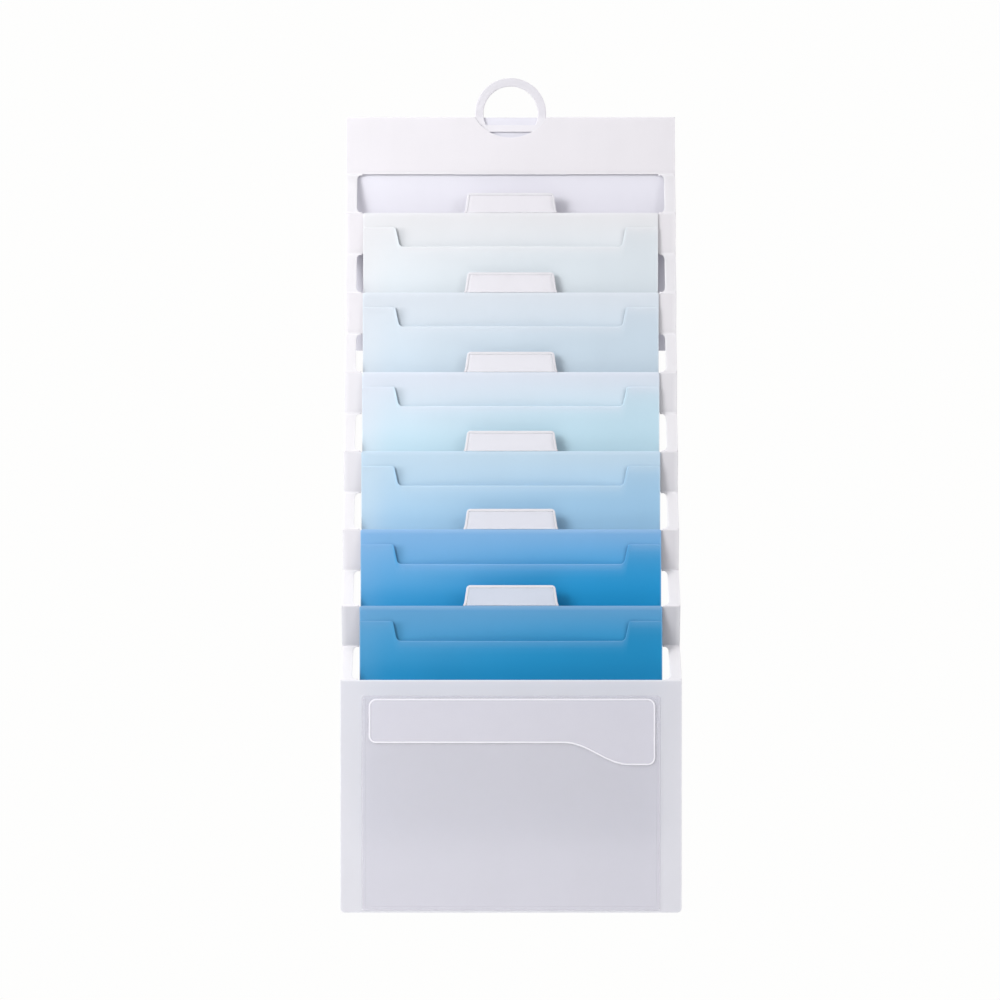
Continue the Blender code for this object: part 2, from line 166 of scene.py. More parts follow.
class DOCPOCKET_PG_sizes(bpy.types.PropertyGroup):
    """Sizes of the sheets, as the model has them, and of their rims, lips and welds."""

    hook_radius: length("Hook radius", "Outer radius of the hook's ring", 0.0391)
    hook_width: length("Hook width", "Width of the ring's band", 0.0092)
    hook_floor: length("Hook floor", "From the ring's centre down to its bar", 0.0130)
    hook_bar: length("Hook bar", "Height of the bar", 0.0076)
    lug_height: length("Lug height", "Height of the lugs at the bar's ends", 0.0068)
    lug_reach: length("Lug reach", "How far a lug stands out", 0.0100)
    lug_corner: length("Lug corner", "Radius of a lug's corners", 0.0015)
    hook_thickness: length("Hook thickness", "Thickness of the hook", 0.0020)
    hook_edge: length("Hook edge", "Radius of the hook's rounded edges", 0.0007)
    sheet: length("Sheet", "Thickness of the creased sheet and the pockets", 0.0006)
    cover: length("Cover", "Thickness of the front cover", 0.0008)
    gap: length("Gap", "Air between two sheets that lie on each other", 0.0003)
    rim: length("Rim", "Radius of a sheet's rounded edge", 0.0003)
    crease_gap: length("Crease gap", "Where a sheet stops before a crease", 0.0004)
    crease_bevel: length("Crease bevel", "How far from a crease the sheet is thinned", 0.0050)
    crease_web: length("Crease web", "How far the thin web of a crease reaches on either side", 0.0009)
    strip_inner: length("Strip inner edge", "From the middle to a link strip's inner edge", 0.1687)
    window_corner: length("Window corner", "Radius in the corners of the windows between strips", 0.0060)
    corner: length("Corner", "Radius of the front cover's lower corners", 0.0050)
    header_notch_radius: length("Header notch radius", "Radius of the arc in the header's top edge", 0.0456)
    header_notch_depth: length("Header notch depth", "Depth of that arc", 0.0228)
    pocket_height: length("Pocket height", "From a pocket's crest to its bottom", 0.2450)
    pocket_corner: length("Pocket corner", "Radius of a pocket's corners", 0.0025)
    seam: length("Seam", "Width of a pocket's welded edge", 0.0040)
    rise: length("Mouth rise", "How far a pocket's mouth stands open", 0.0066)
    ramp: length("Mouth ramp", "From the seam to the notch's lower corner", 0.0360)
    ear_drop: length("Ear drop", "From the crest to the top of a pocket's front", 0.0160)
    floor_drop: length("Notch floor", "From the crest to the floor of the notch", 0.0372)
    notch_slope: length("Notch slope", "How far a notch's side leans out", 0.0045)
    notch_corner: length("Notch corner", "Radius in the notch's lower corners", 0.0054)
    lip: length("Lip", "Width of the light lip along a pocket's mouth", 0.0020)
    lip_height: length("Lip height", "How far that lip stands proud", 0.00007)
    tab_base: length("Tab base", "Width of a tab at its foot", 0.1026)
    tab_top: length("Tab top", "Width of a tab at its top", 0.0960)
    tab_height: length("Tab height", "Height of a tab above the crest", 0.0220)
    tab_foot: length("Tab foot", "How far a tab reaches down behind its pocket", 0.0080)
    tab_corner: length("Tab corner", "Radius of a tab's upper corners", 0.0043)
    tab_border: length("Tab border", "Width of the weld round a tab", 0.0022)
    cover_height: length("Cover height", "Height of the front cover", 0.2475)
    cover_sheet_top: length("Cover sheet top", "From the crest to the clear sheet's top", 0.0170)
    cover_sheet_bottom: length("Cover sheet bottom", "From the clear sheet's bottom to the cover's", 0.0030)
    cover_weld: length("Cover weld", "From the clear sheet's edge to its second weld line", 0.0037)
    label_top: length("Label top", "From the clear sheet's top to the label's", 0.0040)
    label_left_height: length("Label left height", "Height of the label's left part", 0.0456)
    label_right_height: length("Label right height", "Height of the label's right end", 0.0690)
    label_step: length("Label step", "Width of the label's S-shaped step", 0.0689)
    label_end: length("Label end", "Width of the label's right end", 0.0265)
    label_corner: length("Label corner", "Radius of the label's corners", 0.0070)
    label_line: length("Label line", "Width of the bead round the label", 0.0017)
    tilt: bpy.props.FloatProperty(
        name="Pocket tilt",
        description="How far a pocket leans back",
        default=math.radians(2.0),
        subtype="ANGLE",
    )


class DOCPOCKET_PG_finishes(bpy.types.PropertyGroup):
    """Colours of the plastics and the paper, linear."""

    hook: colour("Hook", "Moulded white plastic", (0.800, 0.792, 0.820))
    sheet: colour("Sheet", "White creased sheet", (0.797, 0.777, 0.806))
    # Painted light: a lighter copy of the hook's colour for its lower part, so that the bar in the header
    # looks as lit as the header.
    bar: colour("Bar", "The hook's bar, which looks whiter in the header", (0.830, 0.815, 0.850))
    link: colour("Link", "The sheet where it leans forward, in the links", (0.825, 0.815, 0.832))
    back: colour("Back", "Back cover", (0.775, 0.768, 0.826))
    # pale: partly the stress whitening of folds, welds and cut edges, partly a painted highlight where they
    # catch the light.
    pale: colour("Pale", "What a fold or a cut edge turns to", (0.95, 0.95, 0.97))
    cover: colour("Cover", "Front cover", (0.775, 0.775, 0.810))
    cover_sheet: colour("Cover sheet", "Clear sheet on the cover", (0.710, 0.700, 0.770))
    label: colour("Label", "Bare label film", (0.840, 0.830, 0.900))
    paper: colour("Paper", "Paper in the tabs", (0.655, 0.643, 0.675))
    bead: colour("Bead", "Line round the label", (0.800, 0.790, 0.840))
    film: colour("Film", "Clear sleeves of the tabs", (0.740, 0.730, 0.765))
    # Pocket colours: top is the tint where the white band behind lights the pocket up, deep is the same tint
    # in painted shade lower down.
    top_1: colour("Pocket 1, top", "First pocket at its crest", (0.840, 0.835, 0.850))
    top_2: colour("Pocket 2, top", "Second pocket at its crest", (0.760, 0.805, 0.855))
    top_3: colour("Pocket 3, top", "Third pocket at its crest", (0.770, 0.805, 0.877))
    top_4: colour("Pocket 4, top", "Fourth pocket at its crest", (0.597, 0.750, 0.852))
    top_5: colour("Pocket 5, top", "Fifth pocket at its crest", (0.252, 0.508, 0.800))
    top_6: colour("Pocket 6, top", "Sixth pocket at its crest", (0.142, 0.400, 0.675))
    deep_1: colour("Pocket 1, deep", "First pocket lower down", (0.670, 0.735, 0.780))
    deep_2: colour("Pocket 2, deep", "Second pocket lower down", (0.555, 0.665, 0.755))
    deep_3: colour("Pocket 3, deep", "Third pocket lower down", (0.500, 0.700, 0.805))
    deep_4: colour("Pocket 4, deep", "Fourth pocket lower down", (0.315, 0.540, 0.750))
    deep_5: colour("Pocket 5, deep", "Fifth pocket lower down", (0.010, 0.285, 0.600))
    deep_6: colour("Pocket 6, deep", "Sixth pocket lower down", (0.010, 0.250, 0.510))
    # Painted light on the bands: the tone darkens each band as painted shade, the share mixes in its pocket's
    # deep tint as painted blue light from the pocket, and the slope turns it darker to the right, where its
    # pocket shades it.
    band_tone: shares("Band tone", "How light each band is", (0.97, 0.97, 0.97, 0.93, 0.95, 0.85))
    band_share: shares("Band share", "Its pocket's colour in a band", (0.0, 0.0, 0.04, 0.04, 0.02, 0.08))
    band_slope: shares("Band slope", "Darker to the right by", (0.01, 0.015, 0.03, 0.05, 0.04, 0.05))
    # Painted shade: the drop over which a pocket turns from its lit tint to its shaded one.
    reach: lengths("Reach", "Drop over which a pocket deepens", (0.060, 0.058, 0.058, 0.058, 0.057, 0.045))
    # Painted light: a share of its pocket's deep tint in a tab's card, for blue light from the pockets round
    # the tab.
    paper_share: shares("Paper share", "Its pocket's colour in a tab", (0.0, 0.02, 0.05, 0.06, 0.09, 0.22))


class DOCPOCKET_PG_studio(bpy.types.PropertyGroup):
    """Strengths of the lights."""

    level: strength("Level", "Light from all round", 0.60)
    rise: strength("Rise", "How much more comes from above", 0.45)
    behind: strength("Behind", "How much more comes from behind", 0.10)
    key: strength("Key", "Light from the upper left", 33.5, "POWER")
    soft: strength("Soft", "Wide light on the left", 9.0, "POWER")
    fill: strength("Fill", "Light from the right", 7.2, "POWER")


# Surfaces

RIM_FLAT = 0.35  # share of the half thickness that is left at the very edge
RIM_STEPS = np.array([0.0, 0.1, 0.35, 1.0])  # stations over a rim, in rims
RIM_HIGHLIGHT, FOLD_WHITENING_AND_HIGHLIGHT = 0.0009, 0.0011  # how far the painted highlight of an edge, and the stress whitening and painted highlight of a fold, reach
LINE_REACH = 0.0012  # how far stations crowd beside a line
CLOSEST = 0.0006  # least distance of an added point from a path's own
CREASE_CUT = 0.83  # share of the sheet that is cut away at a crease
THINNEST = 0.12  # share of the sheet that always stays


def stations(total, rim, corner=0.0, count=24, lines=()):
    """Places from 0 to total, close together where the surface turns and even elsewhere.

    They crowd over the rounded rim, over a corner's arc as radius * (1 - cos(turn)), and beside each
    of the given lines.
    """
    turn = np.linspace(0.0, np.pi / 2, 8)
    near = np.concatenate([rim * RIM_STEPS, corner * (1 - np.cos(turn))])
    around = [line + step for line in lines for step in np.linspace(-LINE_REACH, LINE_REACH, 13)]
    every = np.concatenate([near, total - near, np.linspace(near.max(), total - near.max(), count), around])
    every = np.unique(np.round(every, 5))
    return every[(every >= 0.0) & (every <= total + 1e-9)]


def rim_share(distance, rim):
    """Share of the half thickness at a distance from the outline: the height of a quarter circle."""
    near = np.clip(distance / rim, 0.0, 1.0)
    return RIM_FLAT + (1 - RIM_FLAT) * np.sqrt(1 - (1 - near) ** 2)


def hump(distance, reach):
    """A smooth bell, 1 at no distance and nearly 0 at twice the reach: exp(-(distance / reach) ** 2)."""
    return np.exp(-((distance / reach) ** 2))


def eased(share):
    """A smooth step from 0 to 1: 3 s^2 - 2 s^3."""
    share = np.clip(share, 0.0, 1.0)
    return share * share * (3 - 2 * share)


def ramp(value, start, over):
    """A smooth step from 0 at the start to 1 at start + over."""
    return eased((value - start) / over)


def outward(points, faces):
    """The faces turned so that they point out: their signed volume is positive."""
    a, b, c, d = (points[faces[:, i]] for i in range(4))
    volume = (a * (np.cross(b, c) + np.cross(c, d))).sum()
    return faces if volume > 0 else faces[:, ::-1]


def shell(front, rear, **masks):
    """A closed sheet between two grids of points, joined round their rim."""
    rows, columns = front.shape[:2]
    count = rows * columns
    index = np.arange(count).reshape(rows, columns)
    quads = np.stack([index[:-1, :-1], index[1:, :-1], index[1:, 1:], index[:-1, 1:]], -1).reshape(-1, 4)
    loop = np.concatenate([index[:-1, 0], index[-1, :-1], index[:0:-1, -1], index[0, :0:-1]])
    after = np.roll(loop, -1)
    sides = np.stack([loop, loop + count, after + count, after], -1)
    points = np.concatenate([front.reshape(-1, 3), rear.reshape(-1, 3)])
    faces = outward(points, np.concatenate([quads, quads[:, ::-1] + count, sides]))
    spread = {
        name: np.tile(np.broadcast_to(mask, (rows, columns)).ravel(), 2) for name, mask in masks.items()
    }
    return points, faces, spread


def tube(rings, **masks):
    """A closed surface through closed rings of points, the last ring joined to the first."""
    count, around = rings.shape[:2]
    index = np.arange(count * around).reshape(count, around)
    across, along = np.roll(index, -1, 1), np.roll(index, -1, 0)
    quads = np.stack([index, across, np.roll(across, -1, 0), along], -1).reshape(-1, 4)
    points = rings.reshape(-1, 3)
    spread = {name: np.broadcast_to(mask, (count, around)).ravel() for name, mask in masks.items()}
    return points, outward(points, quads), spread


def leaf(along, low, high, down, faces_at, place, upright=False):
    """A sheet between two edges, low(a) and high(a), over stations a.

    A point lies at b = low + share * (high - low), with the shares of the stations down. a runs
    across and b down, or the other way round when upright. faces_at(x, u, edge) gives the rear and
    front places forward and the masks, from the distance to the nearest edge.
    """
    a = along[:, None]
    low, high = low[:, None], high[:, None]
    b = low + (down / down[-1])[None, :] * (high - low)
    a = np.broadcast_to(a, b.shape)
    edge = np.minimum(np.minimum(a - along[0], along[-1] - a), np.minimum(b - low, high - b))
    x, u = (b, a) if upright else (a, b)
    rear, front, masks = faces_at(x, u, np.maximum(edge, 0.0))
    anchor, lean = place
    return shell(placed(anchor, lean, x, u, front), placed(anchor, lean, x, u, rear), **masks)


def corner_inset(distance, radius):
    """How far a rounded corner stands in, at a distance from the end: r - sqrt(r^2 - (r - d)^2)."""
    if radius <= 0:
        return np.zeros_like(distance)
    near = radius - np.clip(distance, 0.0, radius)
    return radius - np.sqrt(np.maximum(radius**2 - near**2, 0.0))


def rounded_path(corners, steps=9):
    """Points along a closed outline with round corners, from (x, u, radius) of each."""
    found = []
    spots = np.array([c[:2] for c in corners], float)
    for (x, u, radius), before, after in zip(corners, np.roll(spots, 1, 0), np.roll(spots, -1, 0)):
        spot = np.array((x, u))
        if radius == 0:
            found.append(spot[None])
            continue
        into, out = ((other - spot) / np.linalg.norm(other - spot) for other in (before, after))
        half = math.acos(float(np.clip(into @ out, -1.0, 1.0))) / 2
        centre = spot + (into + out) / np.linalg.norm(into + out) * radius / math.sin(half)
        first, last = (spot + side * radius / math.tan(half) - centre for side in (into, out))
        turn = math.atan2(first[0] * last[1] - first[1] * last[0], first @ last)
        angles = math.atan2(first[1], first[0]) + np.linspace(0.0, turn, steps)
        found.append(centre + radius * np.stack([np.cos(angles), np.sin(angles)], -1))
    return np.concatenate(found)


def travelled(path):
    """Length along a path up to each of its points."""
    return np.concatenate([[0.0], np.cumsum(np.linalg.norm(np.diff(path, axis=0), axis=1))])


def resampled(path, count):
    """The path with count points at even steps of length."""
    at = travelled(path)
    even = np.linspace(0.0, at[-1], count)
    return np.stack([np.interp(even, at, path[:, i]) for i in (0, 1)], -1)


def thickened(path, extra):
    """The path's own points and extra even ones between them, none too close to an own one."""
    at = travelled(path)
    own = np.unique(np.round(at, 4))
    even = np.linspace(0.0, at[-1], extra)
    even = even[np.abs(even[:, None] - own).min(1) > CLOSEST]
    every = np.sort(np.concatenate([own, even]))
    return np.stack([np.interp(every, at, path[:, i]) for i in (0, 1)], -1)


def inward(path, closed=False):
    """Unit normals of a path that point to its right when x is across and u is down."""
    if closed:
        step = np.roll(path, -1, 0) - np.roll(path, 1, 0)
    else:
        step = np.gradient(path, axis=0)
    step = step / np.linalg.norm(step, axis=1, keepdims=True)
    return np.stack([-step[:, 1], step[:, 0]], -1)


def bead(path, width, height, w, place):
    """A rounded line along a closed path: an ellipse of that width and height carried round it."""
    angle = np.linspace(0.0, 2 * np.pi, 12, endpoint=False)
    side = inward(path, closed=True)[:, None, :] * (np.cos(angle) * width / 2)[None, :, None]
    spots = path[:, None, :] + side
    forward = w + np.sin(angle)[None, :] * height / 2
    anchor, lean = place
    return tube(placed(anchor, lean, spots[..., 0], spots[..., 1], forward), rim=1.0)


def add_piece(name, parts, material):
    """A mesh object from closed shells, with their masks as attributes and one material."""
    points = np.concatenate([p for p, _, _ in parts])
    starts = np.cumsum([0] + [len(p) for p, _, _ in parts[:-1]])
    faces = np.concatenate([f + start for (_, f, _), start in zip(parts, starts)])
    mesh = bpy.data.meshes.new(name)
    mesh.from_pydata(points.tolist(), [], faces.tolist())
    for mask in sorted({key for _, _, masks in parts for key in masks}):
        values = np.concatenate([masks.get(mask, np.zeros(len(p))) for p, _, masks in parts])
        mesh.attributes.new(mask, "FLOAT", "POINT").data.foreach_set("value", values.astype(np.float32))
    mesh.polygons.foreach_set("use_smooth", np.ones(len(faces), bool))
    mesh.materials.append(material)
    mesh.update()
    made = bpy.data.objects.new(name, mesh)
    bpy.context.scene.collection.objects.link(made)
    return made


def crease_cut(distance, sizes):
    """How much is taken off a face near a crease, so that the fold can close on that side."""
    share = np.clip((distance - sizes.crease_gap) / (sizes.crease_bevel - sizes.crease_gap), 0.0, 1.0)
    return CREASE_CUT * sizes.sheet * (1 - share)


def flat_faces(sizes, cut_rear=None, cut_front=None, folds=()):
    """The faces of a flat sheet for leaf(): half the thickness either side, with round rims.

    cut_rear and cut_front are the places down of creases that close behind or in front, and folds are
    the places down that look paler, from stress whitening and a painted highlight.
    """

    def faces_at(x, u, edge):
        half = sizes.sheet / 2 * rim_share(edge, sizes.rim)
        rear, front = -half, half
        if cut_rear is not None:
            rear = rear + crease_cut(np.abs(u - cut_rear), sizes)
        if cut_front is not None:
            front = front - crease_cut(np.abs(u - cut_front), sizes)
        rear = np.minimum(rear, front - sizes.sheet * THINNEST)
        nearest = np.min([np.abs(u - fold) for fold in folds], axis=0)
        # rim: a painted highlight along the edges; fold: stress whitening and a painted highlight along the
        # creases.
        return rear, front, {"rim": hump(edge, RIM_HIGHLIGHT), "fold": hump(nearest, FOLD_WHITENING_AND_HIGHLIGHT)}

    return faces_at


# Materials


CLOUDS, STREAKS, DENTS, SAND = 13.0, 55.0, 160.0, 1400.0  # noise on the sheets, per metre
MOULD_CLOUDS, MOULD_SAND = 40.0, 1100.0  # on the hook
FILM_CLOUDS, FILM_DENTS = 60.0, 220.0  # on the clear films
CARD_CLOUDS, CARD_FIBRES = 70.0, 900.0  # on the paper


class Signal:
    """A number in a node tree. Arithmetic on it adds Math nodes."""

    def __init__(self, tree, socket):
        self.tree, self.socket = tree, socket

    def math(self, operation, *values):
        made = self.tree.nodes.new("ShaderNodeMath")
        made.operation = operation
        for socket, value in zip(made.inputs, values):
            plug(self.tree, socket, value)
        return Signal(self.tree, made.outputs[0])

    def __add__(self, other):
        return self.math("ADD", self, other)

    def __mul__(self, other):
        return self.math("MULTIPLY", self, other)

    __radd__ = __add__
    __rmul__ = __mul__


def plug(tree, socket, value):
    """Links a socket or a Signal, or sets a plain value."""
    if isinstance(value, Signal):
        value = value.socket
    if isinstance(value, bpy.types.NodeSocket):
        tree.links.new(value, socket)
    elif isinstance(value, (tuple, list)) and len(value) == 3 and socket.type == "RGBA":
        socket.default_value = (*value, 1.0)
    else:
        socket.default_value = value


class Finish:
    """A material in the making."""

    def __init__(self, name):
        self.material = bpy.data.materials.new(name)
        self.material.use_nodes = True
        self.tree = self.material.node_tree
        self.tree.nodes.clear()
        self.place = self.node("ShaderNodeTexCoord").outputs["Object"]

    def node(self, kind, settings=None, **values):
        """A node of that type: its settings are set first, then its sockets' values or links."""
        made = self.tree.nodes.new(kind)
        for key, value in (settings or {}).items():
            setattr(made, key, value)
        for key, value in values.items():
            plug(self.tree, made.inputs[key.replace("_", " ")], value)
        return made

    def noise(self, scale, detail=2.0, stretch=(1.0, 1.0, 1.0)):
        """Noise on the object's own coordinates, from 0 to 1, with a stretch along each axis."""
        spot = self.node("ShaderNodeMapping", Vector=self.place, Scale=stretch).outputs["Vector"]
        made = self.node("ShaderNodeTexNoise", Vector=spot, Scale=scale, Detail=detail, Roughness=0.55)
        return Signal(self.tree, made.outputs["Fac"])

    def mask(self, name):
        """One of the piece's own attributes."""
        made = self.node("ShaderNodeAttribute", {"attribute_name": name})
        return Signal(self.tree, made.outputs["Fac"])

    def mix(self, factor, first, second):
        """A colour between two, by a factor."""
        made = self.node("ShaderNodeMix", {"data_type": "RGBA"})
        for socket, value in zip((made.inputs[0], made.inputs[6], made.inputs[7]), (factor, first, second)):
            plug(self.tree, socket, value)
        return made.outputs[2]

    def bump(self, height, distance, strength=1.0):
        """A bumped normal from a height."""
        made = self.node("ShaderNodeBump", Height=height, Distance=distance, Strength=strength)
        return made.outputs["Normal"]

    def shade(self, **values):
        """The Principled shader of this finish."""
        return self.node("ShaderNodeBsdfPrincipled", **values).outputs["BSDF"]

    def done(self, shader, glow=0.0, glow_colour=(1.0, 1.0, 1.0)):
        """Ends the material, with a share of light that passes through the sheet."""
        if glow:
            passed = self.node("ShaderNodeBsdfTranslucent", Color=glow_colour).outputs["BSDF"]
            mixed = self.node("ShaderNodeMixShader")
            for socket, value in zip(mixed.inputs, (glow, shader, passed)):
                plug(self.tree, socket, value)
            shader = mixed.outputs["Shader"]
        self.node("ShaderNodeOutputMaterial", Surface=shader)
        return self.material


def scaled(tint, share):
    """A colour made lighter or darker."""
    return tuple(min(1.0, channel * share) for channel in tint)


def scaled_towards(tint, other, share):
    """A colour part of the way to another."""
    return tuple(a + (b - a) * share for a, b in zip(tuple(tint), tuple(other)))


SHEET_GRAIN, MOULD_GRAIN, FILM_GRAIN, CARD_GRAIN = 0.00004, 0.00002, 0.00005, 0.00006  # bump heights


def plastic_sheet(name, tint, pale, whitening=0.35, glow=0.22, deep=None):
    """Extruded sheet: faint clouds and flow streaks, a fine sand grain, and paler folds and edges, from
    stress whitening and a painted highlight.

    With a deep tint, it turns to that by its depth attribute and darker by its shade attribute, both painted
    shade; its sheen is weaker and less light passes through its deep parts.
    """
    roughness, cloud = 0.42, 0.02
    finish = Finish(name)
    clouds = finish.noise(CLOUDS, 3.0)
    streaks = finish.noise(STREAKS, 2.0, (1.0, 1.0, 0.06))
    patch = clouds * 0.7 + streaks * 0.3
    base = finish.mix(patch, scaled(tint, 1 - 2 * cloud), scaled(tint, 1 + 2 * cloud))
    # Painted shade: depth turns the lit tint into the shaded deep tint, and shade darkens it further towards
    # a dark copy.
    if deep:
        low = finish.mix(patch, scaled(deep, 1 - 2 * cloud), scaled(deep, 1 + 2 * cloud))
        base = finish.mix(finish.mask("depth"), base, low)
        base = finish.mix(finish.mask("shade"), base, scaled(deep, 0.4))
    # Paler rims and folds: stress whitening where the sheet is creased or welded, and a painted highlight
    # where edges catch the light.
    edge = (finish.mask("rim") + finish.mask("fold") * 0.6) * whitening
    base = finish.mix(edge, base, tuple(pale))
    sand = finish.noise(SAND)
    dents = finish.noise(DENTS)
    rough = sand * 0.10 + clouds * 0.08 + (roughness - 0.09)
    normal = finish.bump(sand + dents * 0.8, SHEET_GRAIN)
    sheen = 0.2 if deep else 0.5
    shader = finish.shade(Base_Color=base, Roughness=rough, Normal=normal, IOR=1.49, Specular_IOR_Level=sheen)
    if deep:
        glow = finish.mask("depth") * (-0.7 * glow) + glow
    return finish.done(shader, glow, scaled_towards(tint, deep or tint, 0.6))


def moulded_plastic(name, tint, pale, bar):
    """Injection-moulded plastic: a fine spark-eroded texture, a painted highlight on the edges and a painted
    lighter bar.

    Less light passes through where it is sunk in the header.
    """
    finish = Finish(name)
    clouds = finish.noise(MOULD_CLOUDS)
    base = finish.mix(clouds, scaled(tint, 0.97), scaled(tint, 1.02))
    # Painted light: from the ring's top downwards the colour turns to the lighter bar colour.
    base = finish.mix(finish.mask("bar"), base, tuple(bar))
    # Painted highlight: the rounded edges, the bar's underside too, go a quarter of the way to pale.
    base = finish.mix(finish.mask("rim") * 0.25, base, tuple(pale))
    sand = finish.noise(MOULD_SAND, 3.0)
    rough = sand * 0.12 + 0.36
    normal = finish.bump(sand, MOULD_GRAIN)
    shader = finish.shade(Base_Color=base, Roughness=rough, Normal=normal, IOR=1.5)
    return finish.done(shader, finish.mask("sunk") * -0.2 + 0.45, tint)


def clear_film(name, tint, pale, alpha, weld_alpha, roughness, cloud):
    """Thin clear film: nearly see-through, milky along its welds."""
    finish = Finish(name)
    clouds = finish.noise(FILM_CLOUDS)
    weld = finish.mask("weld")
    base = finish.mix(weld, finish.mix(clouds, scaled(tint, 1 - cloud), scaled(tint, 1 + cloud)), tuple(pale))
    dents = finish.noise(FILM_DENTS)
    rough = dents * 0.08 + (roughness - 0.04)
    see = weld * (weld_alpha - alpha) + (clouds * cloud + (alpha - cloud / 2))
    normal = finish.bump(dents, FILM_GRAIN)
    shader = finish.shade(Base_Color=base, Roughness=rough, Alpha=see, Normal=normal, IOR=1.49)
    return finish.done(shader)


def label_paper(name, tint):
    """Uncoated card: short fibres and a slightly uneven white."""
    finish = Finish(name)
    fibres = finish.noise(CARD_FIBRES, 4.0, (0.25, 1.0, 1.0))
    clouds = finish.noise(CARD_CLOUDS)
    base = finish.mix(fibres * 0.5 + clouds * 0.5, scaled(tint, 0.96), scaled(tint, 1.03))
    rough = fibres * 0.15 + 0.7
    normal = finish.bump(fibres, CARD_GRAIN)
    shader = finish.shade(Base_Color=base, Roughness=rough, Normal=normal, IOR=1.4)
    return finish.done(shader)


BAND_DEEP = 0.885  # part of the painted shade at a band's right end; it makes up for the light that doesn't pass through there
MADE = {}


def finish_for(slot, variant=""):
    """The material of one slot of the record, made once for each of its variants."""
    if (slot, variant) in MADE:
        return MADE[slot, variant]
    tints = bpy.context.scene.docpocket_finishes
    pale = tuple(tints.pale)
    number = int(variant.split("_")[-1]) if "_" in variant else 0
    if slot == "hook_white":
        made = moulded_plastic("hook_moulded_white", tuple(tints.hook), pale, tints.bar)
    elif slot == "sheet_white" and variant == "back":
        made = plastic_sheet("back_cover_white", tints.back, pale, glow=0.25)
    elif slot == "sheet_white" and variant == "link":
        made = plastic_sheet("link_sheet_white", tints.link, pale, glow=0.38)
    elif slot == "sheet_white" and number:
        # Painted light: the pocket's deep tint for blue light from the pocket, the tone as painted shade, and
        # darker to the right, where the pocket shades the band.
        tint = scaled_towards(tints.sheet, getattr(tints, f"deep_{number}"), tints.band_share[number - 1])
        tone, slope = tints.band_tone[number - 1], tints.band_slope[number - 1]
        left, right = scaled(tint, tone * (1 + slope)), scaled(tint, BAND_DEEP * tone * (1 - slope))
        made = plastic_sheet(f"band_{number}_white", left, pale, deep=right)
    elif slot == "sheet_white":
        made = plastic_sheet("creased_sheet_white", tints.sheet, pale)
    elif slot == "cover_white":
        made = plastic_sheet("cover_white_sheet", tints.cover, pale, whitening=0.8, glow=0.4)
    elif slot == "cover_sheet_clear":
        made = clear_film("cover_clear_sheet", tints.cover_sheet, tints.cover_sheet, 0.22, 0.4, 0.3, 0.01)
    elif slot == "label_film":
        made = clear_film("label_film_frosted", tints.label, tints.bead, 0.34, 0.9, 0.35, 0.008)
    elif slot == "tab_clear":
        made = clear_film("tab_sleeve_clear", tints.film, tints.film, 0.05, 0.8, 0.3, 0.01)
    elif slot == "tab_paper":
        # Painted light: a share of the pocket's deep tint for blue light from the pockets round the tab.
        tint = scaled_towards(tints.paper, getattr(tints, f"deep_{number}"), tints.paper_share[number - 1])
        made = label_paper(f"tab_{number}_card_paper", tint)
    else:
        number = int(slot.split("_")[-1])
        top, deep = getattr(tints, f"top_{number}"), getattr(tints, f"deep_{number}")
        # The pale for a pocket's rims and folds: weld whitening and painted highlight.
        edge = scaled_towards(top, pale, 0.35)
        made = plastic_sheet(f"pocket_{number}_tinted", top, edge, whitening=0.4, glow=0.33, deep=deep)
    MADE[slot, variant] = made
    return made


def dress(node, slot, variant=""):
    """Gives a CAD node, which stays as it is, the finish of a slot."""
    for holder in frame["nodes"][node].material_slots:
        holder.material = finish_for(slot, variant)


# Operators


CAMERA_AT, CAMERA_TURN = (-0.0117, -2.6016, -0.5151), math.radians(91.30)
LENS, SENSOR, CLIP_END = 85.31, 36.0, 50.0
SEEN_TINT, LIT_TINT = (0.99, 0.99, 0.985), (0.985, 0.98, 1.0)  # the background as seen and as light
LEAST_LIGHT = 0.1
AIM = (0.0, 0.0, -0.45)
LAMPS = {  # the place of each and its side
    "key": ((-1.64, -1.364, 0.416), 0.75),
    "soft": ((-1.15, -0.95, -0.10), 1.30),
    "fill": ((1.50, -1.34, 0.25), 0.60),
}
FLOOR_RADIUS, FLOOR_TOP, FLOOR_THICKNESS = 1.5, -1.40, 0.05
FLOOR_GRAIN, FLOOR_TINTS = 30.0, ((0.74, 0.74, 0.735), (0.78, 0.78, 0.775))


